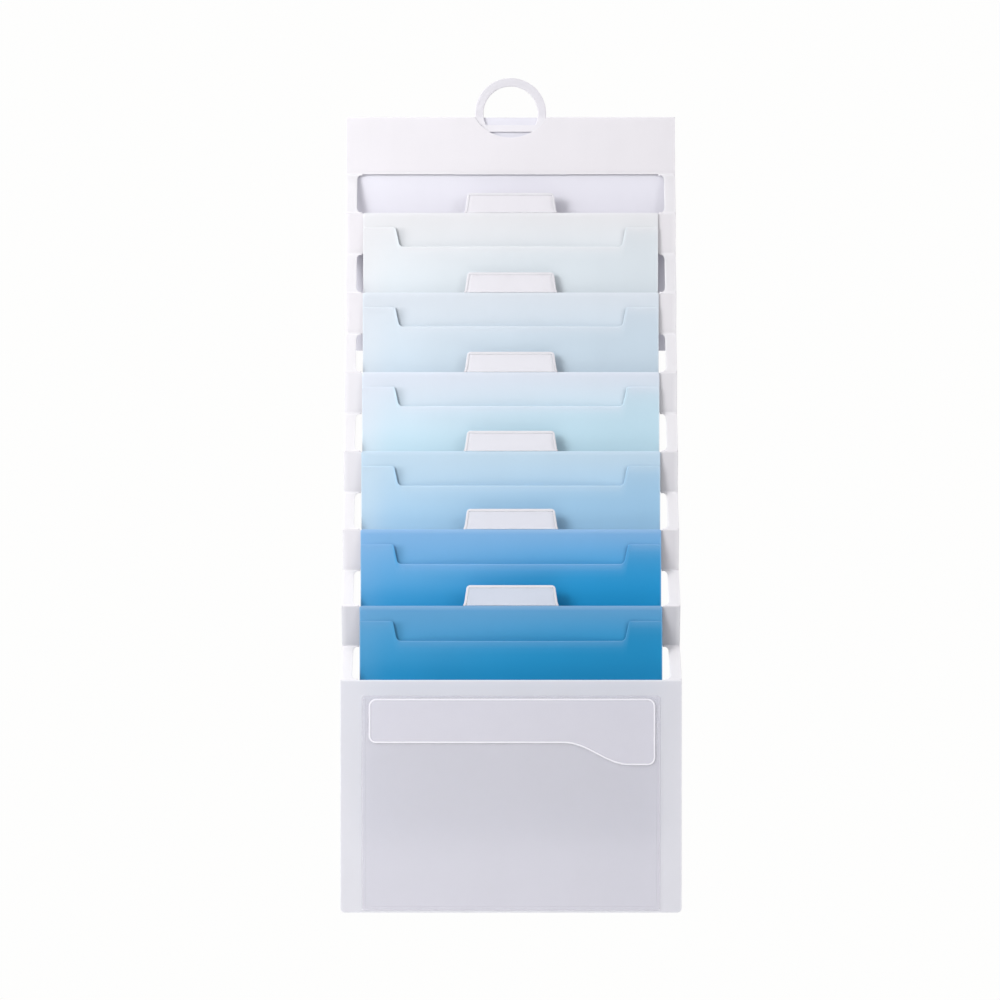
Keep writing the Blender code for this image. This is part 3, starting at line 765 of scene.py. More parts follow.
class DOCPOCKET_OT_stage(bpy.types.Operator):
    """Sets up the pale floor, the soft lights and the camera"""

    bl_idname = "docpocket.stage"
    bl_label = "Stage"

    def disc(self, radius, top, thickness):
        """A round plate, its edge rounded off: a square grid (s, t) drawn out to a disc.

        x = r s sqrt(1 - t^2 / 2) and y = r t sqrt(1 - s^2 / 2), and the top falls as the 60th power of
        the distance from the middle.
        """
        even = np.sin(np.linspace(-np.pi / 2, np.pi / 2, 49))
        s, t = np.meshgrid(even, even)
        x, y = s * np.sqrt(1 - t**2 / 2), t * np.sqrt(1 - s**2 / 2)
        fall = 0.4 * thickness * np.hypot(x, y) ** 60
        above = np.stack([radius * x, radius * y, top - fall], -1)
        below = np.stack([radius * x, radius * y, np.full_like(x, top - thickness)], -1)
        return shell(above, below)

    def execute(self, context):
        scene = context.scene
        studio = scene.docpocket_studio
        scene.view_settings.view_transform = "Standard"
        lens = bpy.data.cameras.new("camera")
        lens.sensor_width, lens.lens, lens.clip_end = SENSOR, LENS, CLIP_END
        camera = bpy.data.objects.new("camera", lens)
        camera.location = CAMERA_AT
        camera.rotation_euler = (CAMERA_TURN, 0.0, 0.0)
        scene.collection.objects.link(camera)
        scene.camera = camera

        world = bpy.data.worlds.new("studio")
        world.use_nodes = True
        tree = world.node_tree
        tree.nodes.clear()
        seen, lit = (tree.nodes.new("ShaderNodeBackground") for _ in range(2))
        plug(tree, seen.inputs["Color"], SEEN_TINT)
        plug(tree, lit.inputs["Color"], LIT_TINT)
        way = tree.nodes.new("ShaderNodeSeparateXYZ")
        tree.links.new(tree.nodes.new("ShaderNodeTexCoord").outputs["Generated"], way.inputs[0])
        sky = Signal(tree, way.outputs["Z"]) * studio.rise + Signal(tree, way.outputs["Y"]) * studio.behind
        plug(tree, lit.inputs["Strength"], sky.math("MAXIMUM", sky + studio.level, LEAST_LIGHT))
        path = tree.nodes.new("ShaderNodeLightPath")
        mixed = tree.nodes.new("ShaderNodeMixShader")
        out = tree.nodes.new("ShaderNodeOutputWorld")
        tree.links.new(path.outputs["Is Camera Ray"], mixed.inputs[0])
        tree.links.new(lit.outputs[0], mixed.inputs[1])
        tree.links.new(seen.outputs[0], mixed.inputs[2])
        tree.links.new(mixed.outputs[0], out.inputs["Surface"])
        scene.world = world

        for name, (spot, size) in LAMPS.items():
            lamp = bpy.data.lights.new(name, "AREA")
            lamp.energy, lamp.size = getattr(studio, name), size
            holder = bpy.data.objects.new(name, lamp)
            holder.location = spot
            away = np.array(spot) - np.array(AIM)
            turn = math.atan2(away[0], -away[1])
            rise = math.atan2(away[2], math.hypot(away[0], away[1]))
            holder.rotation_euler = (math.pi / 2 - rise, 0.0, turn)
            scene.collection.objects.link(holder)

        points, faces, _ = self.disc(FLOOR_RADIUS, FLOOR_TOP, FLOOR_THICKNESS)
        mesh = bpy.data.meshes.new("floor")
        mesh.from_pydata(points.tolist(), [], faces.tolist())
        finish = Finish("floor_pale")
        base = finish.mix(finish.noise(FLOOR_GRAIN, 3.0), *FLOOR_TINTS)
        mesh.materials.append(finish.done(finish.shade(Base_Color=base, Roughness=0.8)))
        floor = bpy.data.objects.new("floor", mesh)
        scene.collection.objects.link(floor)
        return {"FINISHED"}


SUNK_OVER = 0.006  # height about the header's top over which the hook turns less clear


class DOCPOCKET_OT_hook(bpy.types.Operator):
    """Builds the ring hook with its bar and lugs"""

    bl_idname = "docpocket.hook"
    bl_label = "Hook"

    steps = 120  # points along each half of an outline

    def contours(self, sizes):
        """The outer and the inner outline about the ring's centre, with matching points.

        The upper parts are arcs of the two circles. The lower parts follow the bar with its lugs and
        the hole's floor, at even steps of length.
        """
        radius, corner = sizes.hook_radius, sizes.lug_corner
        floor = sizes.hook_floor + sizes.hook_bar
        lug_top = floor - sizes.lug_height
        reach = math.sqrt(radius**2 - sizes.hook_floor**2) + sizes.lug_reach
        sides = []
        for circle, drop in ((radius, lug_top), (radius - sizes.hook_width, sizes.hook_floor)):
            meet = math.asin(drop / circle)
            angle = np.linspace(math.pi - meet, 2 * math.pi + meet, self.steps)
            sides.append(circle * np.stack([np.cos(angle), np.sin(angle)], -1))
        outer, inner = sides
        ends = ((reach, lug_top), (reach, floor), (-reach, floor), (-reach, lug_top))
        corners = rounded_path([(*end, corner) for end in ends])
        lower = resampled(np.concatenate([outer[-1:], corners, outer[:1]]), self.steps)[1:-1]
        level = np.linspace(inner[-1], inner[0], self.steps)[1:-1]
        return np.concatenate([outer, lower]), np.concatenate([inner, level])

    def execute(self, context):
        sizes = context.scene.docpocket_sizes
        outer, inner = self.contours(sizes)
        reach = np.linalg.norm(inner - outer, axis=1, keepdims=True)
        way = (inner - outer) / reach
        half, edge = sizes.hook_thickness / 2, sizes.hook_edge
        turn = np.linspace(0.0, np.pi / 2, 6)
        inset = np.concatenate([[2.2 * edge, 1.3 * edge], edge * (1 - np.sin(turn))])
        rise = np.concatenate([[half, half], half - edge * (1 - np.cos(turn))])
        spots, forward, rims = [], [], []
        for start, sign in ((outer, 1.0), (inner, -1.0)):
            for depth, w in [*zip(inset, -rise * sign), *zip(inset[::-1], rise[::-1] * sign)]:
                spots.append(start + sign * way * depth)
                forward.append(np.full(len(start), w))
                # rim marks the rounded edges, which get a painted highlight.
                rims.append(float(depth < edge / 2))
        spots, forward = np.stack(spots, 1), np.stack(forward, 1)
        centre = sizes.hook_width - sizes.hook_radius
        place = (np.array((0.0, 0.0, centre)), 0.0)
        x, u = spots[..., 0], spots[..., 1]
        # Painted light: 0 at the ring's top, 1 from a quarter radius above its centre down, where the lighter
        # bar colour holds.
        bar = np.clip((u + sizes.hook_radius) / (0.75 * sizes.hook_radius), 0.0, 1.0)
        sunk = eased((u - (centre - HEADER_TOP)) / SUNK_OVER + 0.5)
        part = tube(placed(*place, x, u, forward), rim=np.array(rims), bar=bar, sunk=sunk)
        made = add_piece("hook_ring_plate", [part], finish_for("hook_white"))
        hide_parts("hook")
        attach(made, "hook")
        return {"FINISHED"}


BEHIND_HEADER = (
    "back_cover",
    "header_seam_left",
    "header_seam_right",
    "hook_guide_left",
    "hook_guide_right",
    "hook_guide_floor",
)


class DOCPOCKET_OT_header(bpy.types.Operator):
    """Builds the header's front layer with its notch, and finishes what lies behind it"""

    bl_idname = "docpocket.header"
    bl_label = "Header"

    def execute(self, context):
        sizes = context.scene.docpocket_sizes
        radius, depth = sizes.header_notch_radius, sizes.header_notch_depth
        notch = math.sqrt(radius**2 - (radius - depth) ** 2)
        arc = notch * np.sin(np.linspace(-np.pi / 2, np.pi / 2, 61))
        side = stations(SHEET_HALF - notch, sizes.rim, sizes.corner / 2, 24)
        across = np.concatenate([side - SHEET_HALF, arc[1:-1], SHEET_HALF - side[::-1]])
        inside = np.abs(across) < notch
        top = np.where(inside, depth - radius + np.sqrt(np.maximum(radius**2 - across**2, 0.0)), 0.0)
        top = np.maximum(top, corner_inset(SHEET_HALF - np.abs(across), sizes.corner / 2))
        bottom = np.full_like(across, HEADER_HEIGHT - sizes.crease_gap)
        down = stations(HEADER_HEIGHT, sizes.rim, sizes.crease_bevel, 20)
        faces_at = flat_faces(sizes, cut_front=HEADER_HEIGHT, folds=(HEADER_HEIGHT,))
        place = (np.array((0.0, HEADER_PLANE, HEADER_TOP)), 0.0)
        part = leaf(across, top, bottom, down, faces_at, place)
        made = add_piece("header_front_layer", [part], finish_for("sheet_white"))
        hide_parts("header_front")
        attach(made, "back_panel")
        for node in BEHIND_HEADER:
            dress(node, "sheet_white", "back")
        return {"FINISHED"}


WEB_OFF, WEB_HALF = 0.00025, 0.00005  # a web's place off the sheet's middle, and half its thickness


class DOCPOCKET_OT_zigzag(bpy.types.Operator):
    """Builds the creased white sheet: link strips, bands and the webs of their creases"""

    bl_idname = "docpocket.zigzag"
    bl_label = "Links and bands"

    def strip(self, sizes, stage, side):
        """One side strip of a link: its inner edge widens in a quarter circle towards both creases."""
        pitch = float(np.linalg.norm(crest(stage) - rear_crease(stage)))
        gap = sizes.crease_gap
        down = gap + stations(pitch - 2 * gap, sizes.rim, sizes.window_corner, 10)
        flare = corner_inset(np.minimum(down, pitch - down), sizes.window_corner)
        inner = np.full_like(down, sizes.strip_inner) - flare
        edges = (inner, np.full_like(down, SHEET_HALF))
        low, high = edges if side > 0 else (-edges[1], -edges[0])
        across = stations(SHEET_HALF - sizes.strip_inner, sizes.rim, 0.0, 6)
        faces_at = flat_faces(sizes, cut_front=0.0, cut_rear=pitch, folds=(0.0, pitch))
        return leaf(down, low, high, across, faces_at, (rear_crease(stage), link_lean(stage)), upright=True)

    def band(self, sizes, stage):
        """A band as wide as the header, from a crest down to the next rear crease."""
        pitch = float(np.linalg.norm(rear_crease(stage + 1) - crest(stage)))
        across = stations(2 * SHEET_HALF, sizes.rim, 0.0, 70) - SHEET_HALF
        top = np.full_like(across, sizes.crease_gap)
        down = stations(pitch - 2 * sizes.crease_gap, sizes.rim, sizes.crease_bevel, 12)
        faces_at = flat_faces(sizes, cut_rear=0.0, cut_front=pitch, folds=(0.0, pitch))

        def shaded(x, u, edge):
            rear, front, masks = faces_at(x, u, edge)
            # Painted shade: depth runs from the band's left end to its right, where the pocket shades it.
            return rear, front, {**masks, "depth": ramp(x, -SHEET_HALF, 2 * SHEET_HALF)}

        return leaf(across, top, pitch - top, down, shaded, (crest(stage), band_lean(stage)))

    def web(self, sizes, at, above, below, side):
        """The thin web of a crease, which runs down the upper sheet, round the crease and down the lower.

        It lies at the outer side of the fold: side is 1 where that is the front and -1 where it is
        the rear. Its middle line is a straight run, an arc about the crease and a straight run.
        """
        reach = sizes.crease_web
        run = np.linspace(reach, 0.0, 7)
        turn = np.linspace(0.0, 1.0, 7)
        lean = np.concatenate([np.full(7, above), above + (below - above) * turn[1:-1], np.full(7, below)])
        along = np.concatenate([-run, np.zeros(5), run[::-1]])
        inner = sizes.strip_inner - sizes.window_corner
        across = np.linspace(inner, SHEET_HALF - sizes.rim / 2, 12)
        parts = []
        for sign in (-1.0, 1.0):
            x = sign * across[None, :]
            grids = []
            for thick in (WEB_HALF, -WEB_HALF):
                out = side * (WEB_OFF + thick)
                y = at[1] - out * np.cos(lean) + along * np.sin(lean)
                z = at[2] - out * np.sin(lean) - along * np.cos(lean)
                shape = (len(lean), len(across))
                grids.append(np.stack([np.broadcast_to(c, shape) for c in (x, y[:, None], z[:, None])], -1))
            # fold: stress whitening and a painted highlight along the crease.
            parts.append(shell(*grids, fold=hump(along, FOLD_WHITENING_AND_HIGHLIGHT)[:, None]))
        return parts

    def execute(self, context):
        sizes = context.scene.docpocket_sizes
        white, link = finish_for("sheet_white"), finish_for("sheet_white", "link")
        for stage in STAGES:
            for side, word in ((-1, "left"), (1, "right")):
                part = self.strip(sizes, stage, side)
                made = add_piece(f"link_{stage}_{word}_sheet", [part], link)
                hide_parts(f"link_{stage}_strip_{word}")
                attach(made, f"link_{stage}")
        for stage in POCKETS:
            tinted = finish_for("sheet_white", f"band_{stage}")
            made = add_piece(f"band_{stage}_sheet", [self.band(sizes, stage)], tinted)
            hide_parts(f"band_{stage}")
            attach(made, f"pocket_{stage}")
        for stage in STAGES:
            holder = "back_panel" if stage == 1 else f"pocket_{stage - 1}"
            carried = f"pocket_{stage}" if stage in POCKETS else "front_cover"
            upper = band_lean(stage - 1) if stage > 1 else 0.0
            lower = band_lean(stage) if stage in POCKETS else sizes.tilt
            lean, body = link_lean(stage), f"link_{stage}"
            for name, at, above, below, side, bodies in (
                (f"crease_{stage}_rear", rear_crease(stage), upper, lean, -1, (holder, body)),
                (f"crease_{stage}_crest", crest(stage), lean, lower, 1, (body, carried)),
            ):
                made = add_piece(name, self.web(sizes, at, above, below, side), white)
                start = placed(at, above, 0.0, -sizes.crease_web, 0.0)
                end = placed(at, below, 0.0, sizes.crease_web, 0.0)
                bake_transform(made)
        return {"FINISHED"}


DEEP_BLUE = 5  # the first of the two deep blue pockets
# Pairs are for the pale pockets and for the deep blue ones
RIGHT_SHADE_GROWTH, GROWS_FROM, GROWS_OVER = (0.6, 0.9), -0.13, 0.24  # painted shade: more tint towards the right
LEFT_LIGHT_BELL, BELL_REACH = (0.45, 0.2), 0.022  # painted light: less tint at the left edge
SIDE_HIGHLIGHT, SIDE_AT, SIDE_REACH = (0.9, 0.2), 0.004, 0.018  # painted highlight along the left edge
SECOND_LAYER, LAST_SECOND_LAYER = 0.004, 0.010  # drop that the second layer adds, for the last pocket too
RIGHT_SHADE_EXTRA, RIGHT_FROM, RIGHT_OVER = 0.018, -0.12, 0.24  # painted shade: drop added towards the right
LOWER_SHADE_EXTRA, LOWER_FROM, LOWER_OVER = 0.016, 0.055, 0.022  # painted shade: drop added below the notch
SLANT_SHADOW, SLANT_REACH, SLANT_LIP = 0.9, 0.0045, 0.0024  # painted shadow along the notch's slanted sides
MOUTH_PAINTED_LIGHT, MOUTH_REACH = 0.55, 0.0055  # painted light: paler along the mouth
LIP_ROWS = [0.0007, 0.0011, 0.0015, 0.0019]  # rows that follow the mouth, from its edge
# The third is the strength of a painted highlight along the mouth's lip, and the fourth its reach.
LIP_FALL, LIP_RISE, LIP_HIGHLIGHT, LIP_REACH = 0.0006, 0.0004, 0.3, 0.0012
WELD_REACH, WELD_DENT, WELD_END = 0.0006, 0.00012, 0.001
EDGE_ROWS = (0.0013, 0.0006, 0.0003, 0.0001, 0.00003)  # rows along the bottom, from its edge
MOUTH_DROP = 0.04  # about how far down the mouth's rows end
WAVE, WAVE_ACROSS, WAVE_DOWN = 0.055, 0.027, 0.036  # unevenness of a front, as a share of its swell
SHADE_LEAST, SHADE_RIGHT, SHADE_LIP = 0.03, 0.09, 0.012
SHADE_MIDDLE, SHADE_AT, SHADE_REACH = 0.05, -0.065, 0.035
LEFT_NOTCH_SHADOW, LEFT_REACH = 0.36, 0.0065  # painted shadow of the ear on a back beside the notch's left side
# painted shadow beside the notch's right side
RIGHT_NOTCH_SHADOW, RIGHT_AT, RIGHT_REACH = 0.30, 0.003, 0.0028
NOTCH_BELOW, NOTCH_OVER = 0.004, 0.006


class DOCPOCKET_OT_pockets(bpy.types.Operator):
    """Builds the six pockets, each a back sheet and a front sheet with its notch"""

    bl_idname = "docpocket.pockets"
    bl_label = "Pockets"

    def swell(self, sizes, x, u):
        """How far a front stands off: rise * (1 - (x / half) ** 2) ** 1.5 * (height left) ** 1.4."""
        share = np.clip(1 - (x / (POCKET_HALF - sizes.seam)) ** 2, 0.0, 1.0) ** 1.5
        left = np.maximum(0.0, 1 - u / (sizes.pocket_height - sizes.seam))
        return sizes.rise * share * left**1.4

    def depth(self, stage, x, u, extra=0.0):
        """How deep the tint is, 0 at the crest: 1 - exp(-(t / reach) ** 1.4), with the drop as t. The
        deepening down from the crest is painted shade.

        t grows by a share of itself towards the right, as painted shade, shrinks in a bell at the left edge,
        as painted light, and takes the extra of a second layer. The two deep blue pockets grow more and
        shrink less.
        """
        growth, bell = RIGHT_SHADE_GROWTH[stage >= DEEP_BLUE], LEFT_LIGHT_BELL[stage >= DEEP_BLUE]
        reach = bpy.context.scene.docpocket_finishes.reach[stage - 1]
        spread = 1 + growth * ramp(x, GROWS_FROM, GROWS_OVER) - bell * hump(x + POCKET_HALF, BELL_REACH)
        return 1 - np.exp(-(((np.maximum(u, 0.0) * spread + extra) / reach) ** 1.4))

    def front_depth(self, sizes, stage, x, u, lip):
        """The front's tint: deeper than the back's for its second layer and for painted shade to the right
        and low down, paler along the mouth as painted light and deep on its slanted sides as painted shadow.
        """
        extra = LAST_SECOND_LAYER if stage == POCKETS[-1] else SECOND_LAYER
        extra = extra + RIGHT_SHADE_EXTRA * ramp(x, RIGHT_FROM, RIGHT_OVER)
        extra = extra + LOWER_SHADE_EXTRA * ramp(u, LOWER_FROM, LOWER_OVER)
        deep = self.depth(stage, x, u, extra)
        slant = POCKET_HALF - sizes.seam - sizes.ramp + sizes.notch_slope / 2
        sides = hump(np.abs(x) - slant, SLANT_REACH) * hump(lip, SLANT_LIP)
        deep = deep * (1 - MOUTH_PAINTED_LIGHT * np.exp(-((np.maximum(lip, 0.0) / MOUTH_REACH) ** 1.3)))
        return deep + sides * (1 - deep) * SLANT_SHADOW

    def painted_left_light(self, stage, x):
        """How much painted highlight a pocket has along its left edge, as a bell; the two deep blue ones
        less.
        """
        return SIDE_HIGHLIGHT[stage >= DEEP_BLUE] * hump(x + POCKET_HALF - SIDE_AT, SIDE_REACH)

    def mouth(self, sizes):
        """The mouth's outline from left to right: ear, slanted side, notch floor, side, ear."""
        bottom = POCKET_HALF - sizes.seam - sizes.ramp
        lip = bottom + sizes.notch_slope
        ear, floor = sizes.ear_drop, sizes.floor_drop
        right = [
            (0.0, floor, 0.0),
            (bottom, floor, sizes.notch_corner),
            (lip, ear, sizes.notch_corner / 2),
            (POCKET_HALF, ear, sizes.pocket_corner),
            (POCKET_HALF, ear + 2 * sizes.pocket_corner, 0.0),
            (0.0, ear + 0.1, 0.0),
        ]
        half = rounded_path(right)[:-2]
        half = np.concatenate([half, [[POCKET_HALF, ear + sizes.pocket_corner]]])
        half = half[np.concatenate([[True], np.linalg.norm(np.diff(half, axis=0), axis=1) > 1e-5])]
        whole = np.concatenate([half[::-1] * (-1, 1), half[1:]])
        return thickened(whole, 90)

    def front(self, sizes, stage, place):
        """The front sheet: rows follow the mouth's outline at first and then spread down to the bottom."""
        path = self.mouth(sizes)
        normal = inward(path)
        outer = np.abs(path[:, 0]) > POCKET_HALF - 1.5 * sizes.pocket_corner
        normal[outer] = (0.0, 1.0)
        inset = np.concatenate([sizes.rim * RIM_STEPS, LIP_ROWS])
        upper = path[:, None, :] + normal[:, None, :] * inset[None, :, None]
        steps = np.abs(np.diff(path, axis=0))
        weight = np.concatenate([[0.0], np.cumsum(steps[:, 0] + 0.25 * steps[:, 1])])
        foot = POCKET_HALF * (2 * weight / weight[-1] - 1)
        height = sizes.pocket_height
        rest = stations(1.0, 0.0, 0.0, 34)[1:]
        weld_rows = (sizes.seam + WELD_REACH, sizes.seam, sizes.seam - WELD_REACH)
        tail = 1 - np.array([*weld_rows, sizes.pocket_corner, *EDGE_ROWS]) / (height - MOUTH_DROP)
        share = np.unique(np.concatenate([rest[rest < tail[0]], tail, [1.0]]))
        start = upper[:, -1:, :]
        end = np.stack([foot, np.full_like(foot, height)], -1)[:, None, :]
        grid = np.concatenate([upper, start + (end - start) * share[None, :, None]], 1)
        x, u = grid[..., 0], grid[..., 1]
        bottom = corner_inset(height - u, sizes.pocket_corner)
        x = x * (1 - bottom / POCKET_HALF)
        near = np.broadcast_to(inset, (len(path), len(inset)))
        lip = np.concatenate([near, LIP_ROWS[-1] + (u - upper[:, -1:, 1])[:, len(inset):]], 1)
        side = np.abs(np.abs(x) - (POCKET_HALF - bottom))
        edge = np.minimum(lip, np.minimum(side, height - u))
        swell = self.swell(sizes, x, u)
        wave = WAVE * swell * np.sin(x / WAVE_ACROSS + 1.7 * stage) * np.cos(u / WAVE_DOWN + stage)
        middle = sizes.sheet / 2 + self.seam_rear(sizes) + swell + wave
        half = sizes.sheet / 2 * rim_share(np.maximum(edge, 0.0), sizes.rim)
        raised = sizes.lip_height * eased((sizes.lip - lip) / LIP_FALL) * eased(lip / LIP_RISE)
        weld = hump(np.abs(x) - (POCKET_HALF - sizes.seam), WELD_REACH)
        weld = weld + hump(u - (height - sizes.seam), WELD_REACH)
        weld = np.clip(weld, 0.0, 1.0) * (side > WELD_END)
        front = middle + half + raised - WELD_DENT * weld
        # Painted highlight along the side and bottom edges and along the mouth's lip.
        rim = np.maximum(hump(np.minimum(side, height - u), RIM_HIGHLIGHT), LIP_HIGHLIGHT * hump(lip, LIP_REACH))
        # fold: weld whitening, and a painted highlight along the left edge.
        fold = weld * 0.5 + self.painted_left_light(stage, x)
        masks = {"rim": rim, "fold": fold, "depth": self.front_depth(sizes, stage, x, u, lip)}
        shade = SHADE_LEAST + SHADE_RIGHT * ramp(x, -POCKET_HALF, 2 * POCKET_HALF)
        shade = shade + SHADE_MIDDLE * hump(x - SHADE_AT, SHADE_REACH)
        masks["shade"] = shade * eased(lip / SHADE_LIP)
        return shell(placed(*place, x, u, front), placed(*place, x, u, middle - half), **masks)

    def seam_rear(self, sizes):
        """Where the rear of a front sheet's seam lies, forward of the pocket's plane."""
        tab_back = sizes.sheet / 2 + sizes.gap
        return tab_back + 2 * sizes.gap + sizes.sheet + sizes.gap

    def back(self, sizes, stage, place):
        """The back sheet, which rises to the crest and has a painted shadow beside the notch's slanted sides.
        """
        across = stations(2 * POCKET_HALF, sizes.rim, sizes.pocket_corner, 130) - POCKET_HALF
        inset = corner_inset(POCKET_HALF - np.abs(across), sizes.pocket_corner)
        down = stations(sizes.pocket_height, sizes.rim, 0.0, 50)
        middle = self.seam_rear(sizes) - sizes.gap - sizes.sheet / 2

        def faces_at(x, u, edge):
            half = sizes.sheet / 2 * rim_share(edge, sizes.rim)
            # Painted highlight along the edges and along the crest.
            rim = np.maximum(hump(edge, RIM_HIGHLIGHT), eased((2 * RIM_HIGHLIGHT - u) / RIM_HIGHLIGHT))
            # fold: a painted highlight along the left edge.
            fold = self.painted_left_light(stage, x)
            masks = {"rim": rim, "fold": fold, "depth": self.depth(stage, x, u)}
            # Painted shadow of the ears on the back beside the notch's sides, from the ears' top to just
            # below the notch floor.
            slant = POCKET_HALF - sizes.seam - sizes.ramp
            below = sizes.floor_drop + NOTCH_BELOW - u
            level = ramp(u, sizes.ear_drop, NOTCH_OVER) * eased(below / NOTCH_OVER)
            corner = LEFT_NOTCH_SHADOW * hump(np.maximum(x + slant, -0.5 * (x + slant)), LEFT_REACH)
            corner = corner + RIGHT_NOTCH_SHADOW * hump(x - slant - RIGHT_AT, RIGHT_REACH)
            masks["shade"] = corner * level
            return middle - half, middle + half, masks

        return leaf(across, inset, sizes.pocket_height - inset, down, faces_at, place)

    def execute(self, context):
        sizes = context.scene.docpocket_sizes
        for stage in POCKETS:
            slot = f"pocket_tint_{stage}"
            place = (crest(stage), sizes.tilt)
            for word, sheet in (("back", self.back), ("front", self.front)):
                part = sheet(sizes, stage, place)
                made = add_piece(f"pocket_{stage}_{word}_sheet", [part], finish_for(slot))
                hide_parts(f"pocket_{stage}_{word}")
                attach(made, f"pocket_{stage}")
        return {"FINISHED"}


TAB_PLANE = 0.0012  # where the middle of a tab lies, forward of its pocket's plane
FRONT_FILM, REAR_FILM, FILM_HALF = 0.00165, 0.00075, 0.00014
FRONT_FOOT = -0.0004  # how far down the front film reaches; the rear one goes down behind the pocket
LINE_OFF, WELD_OVER = 0.0002, 0.0004
CARD_INSET, CARD_HALF, CARD_RIM, CARD_WHITE = 0.00015, 0.0001, 0.00005, 0.0003
FLARE, FLARE_OVER = 0.0010, 0.004  # a tab flares by that much over its last stretch
RIDGE, INNER_RISE, OUTER_RISE = 0.0004, 0.00028, 0.0001  # half thicknesses of the weld


class DOCPOCKET_OT_tabs(bpy.types.Operator):
    """Builds the clear sleeves of the six tabs and the paper cards in them"""

    bl_idname = "docpocket.tabs"
    bl_label = "Tabs"

    def film(self, sizes, place, w, foot):
        """A wall of the sleeve: its half width grows from the top to the base and flares at the foot."""
        rim = sizes.rim / 2
        line = sizes.tab_border / 2 + LINE_OFF
        down = stations(sizes.tab_height + foot, rim, sizes.tab_corner, 16, (line,))
        u = down - sizes.tab_height
        half = self.half_width(sizes, u) - corner_inset(down, sizes.tab_corner) - sizes.tab_border / 2
        across = stations(sizes.tab_base, rim, 0.0, 30, (line, sizes.tab_base - line))

        def faces_at(x, u, edge):
            half_wall = FILM_HALF * rim_share(edge, rim)
            side = self.half_width(sizes, u) - np.abs(x)
            inside = np.minimum(side, u + sizes.tab_height)
            weld = eased((sizes.tab_border + WELD_OVER - inside) / WELD_OVER)
            return w - half_wall, w + half_wall, {"weld": weld}

        return leaf(u, -half, half, across, faces_at, place, upright=True)

    def card(self, sizes, place):
        """The paper in the sleeve, which fills it up to the weld."""
        border = sizes.tab_border + CARD_INSET
        down = stations(sizes.tab_height - border - sizes.gap, CARD_RIM, sizes.tab_corner / 2, 12)
        u = down + border - sizes.tab_height
        half = self.half_width(sizes, u) - border - corner_inset(down, sizes.tab_corner / 2)
        across = stations(sizes.tab_base, CARD_RIM, 0.0, 24)

        def faces_at(x, u, edge):
            thick = CARD_HALF * rim_share(edge, CARD_RIM)
            return TAB_PLANE - thick, TAB_PLANE + thick, {"rim": hump(edge, CARD_WHITE)}

        return leaf(u, -half, half, across, faces_at, place, upright=True)

    def half_width(self, sizes, u):
        """Half the tab's width at a height: a straight taper that flares at the foot."""
        share = np.clip(-u / sizes.tab_height, 0.0, 1.0)
        flare = FLARE * np.clip(1 - share * sizes.tab_height / FLARE_OVER, 0.0, 1.0) ** 2
        return sizes.tab_base / 2 + (sizes.tab_top - sizes.tab_base) / 2 * share - FLARE + flare

    def border(self, sizes, place):
        """The weld round the sleeve, carried up one side, over the top and down the other.

        Its inner half lies between the films, and its outer half is a ridge.
        """
        inset = sizes.tab_border / 2
        rows = np.linspace(0.0, 1.0, 16)
        side_u = -sizes.tab_height * rows
        radius = sizes.tab_corner
        corner = math.pi / 2 * np.linspace(0.0, 1.0, 10)
        up = side_u[side_u > radius - sizes.tab_height]
        right = np.stack([self.half_width(sizes, up) - inset, up], -1)
        level = radius - sizes.tab_height
        centre = np.array([self.half_width(sizes, np.array(level)) - radius, level])
        arc = centre + (radius - inset) * np.stack([np.cos(corner), -np.sin(corner)], -1)
        half = thickened(np.concatenate([right, arc]), 20)
        path = np.concatenate([half, half[::-1] * (-1, 1)])
        path = thickened(path, 70)
        normal = inward(path)
        share = np.array([-1.0, -0.5, 0.0, 0.07, 0.2, 0.4, 0.6, 0.8, 0.93, 1.0])
        spots = path[:, None, :] + normal[:, None, :] * (share * inset)[None, :, None]
        dome = RIDGE * np.sqrt(np.maximum(1 - (2 * share - 1) ** 2, 0.0))
        rise = np.maximum(dome, np.where(share < 0.5, INNER_RISE, OUTER_RISE))[None, :]
        return shell(
            placed(*place, spots[..., 0], spots[..., 1], TAB_PLANE + rise),
            placed(*place, spots[..., 0], spots[..., 1], TAB_PLANE - rise),
            weld=1.0,
        )

    def execute(self, context):
        sizes = context.scene.docpocket_sizes
        for stage in POCKETS:
            place = (crest(stage), sizes.tilt)
            parts = [
                self.film(sizes, place, FRONT_FILM, FRONT_FOOT),
                self.film(sizes, place, REAR_FILM, sizes.tab_foot),
                self.border(sizes, place),
            ]
            made = add_piece(f"tab_{stage}_clear_sleeve", parts, finish_for("tab_clear"))
            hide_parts(f"tab_{stage}_sleeve")
            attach(made, f"pocket_{stage}")
            paper = finish_for("tab_paper", f"tab_{stage}")
            made = add_piece(f"tab_{stage}_paper_card", [self.card(sizes, place)], paper)
            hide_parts(f"tab_{stage}_label")
            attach(made, f"pocket_{stage}")
        return {"FINISHED"}


# The first is the least thickness behind the crease; the second is the reach of a painted highlight along the
# cover's rims.
COVER_LEAST, COVER_RIM_HIGHLIGHT = 0.00008, 0.0008
COVER_CREST_HIGHLIGHT, COVER_FOLD_OVER = 0.0022, 0.001  # stress whitening and a painted highlight in a stretch below the cover's crease
CLEAR_HALF, CLEAR_BORDER, CLEAR_BORDER_OVER = 0.0002, 0.0011, 0.0005
LINE_WIDTH, LINE_RISE = 0.00045, 0.00005  # the clear sheet's second weld line
LABEL_HALF, BEAD_HEIGHT = 0.00005, 0.00018


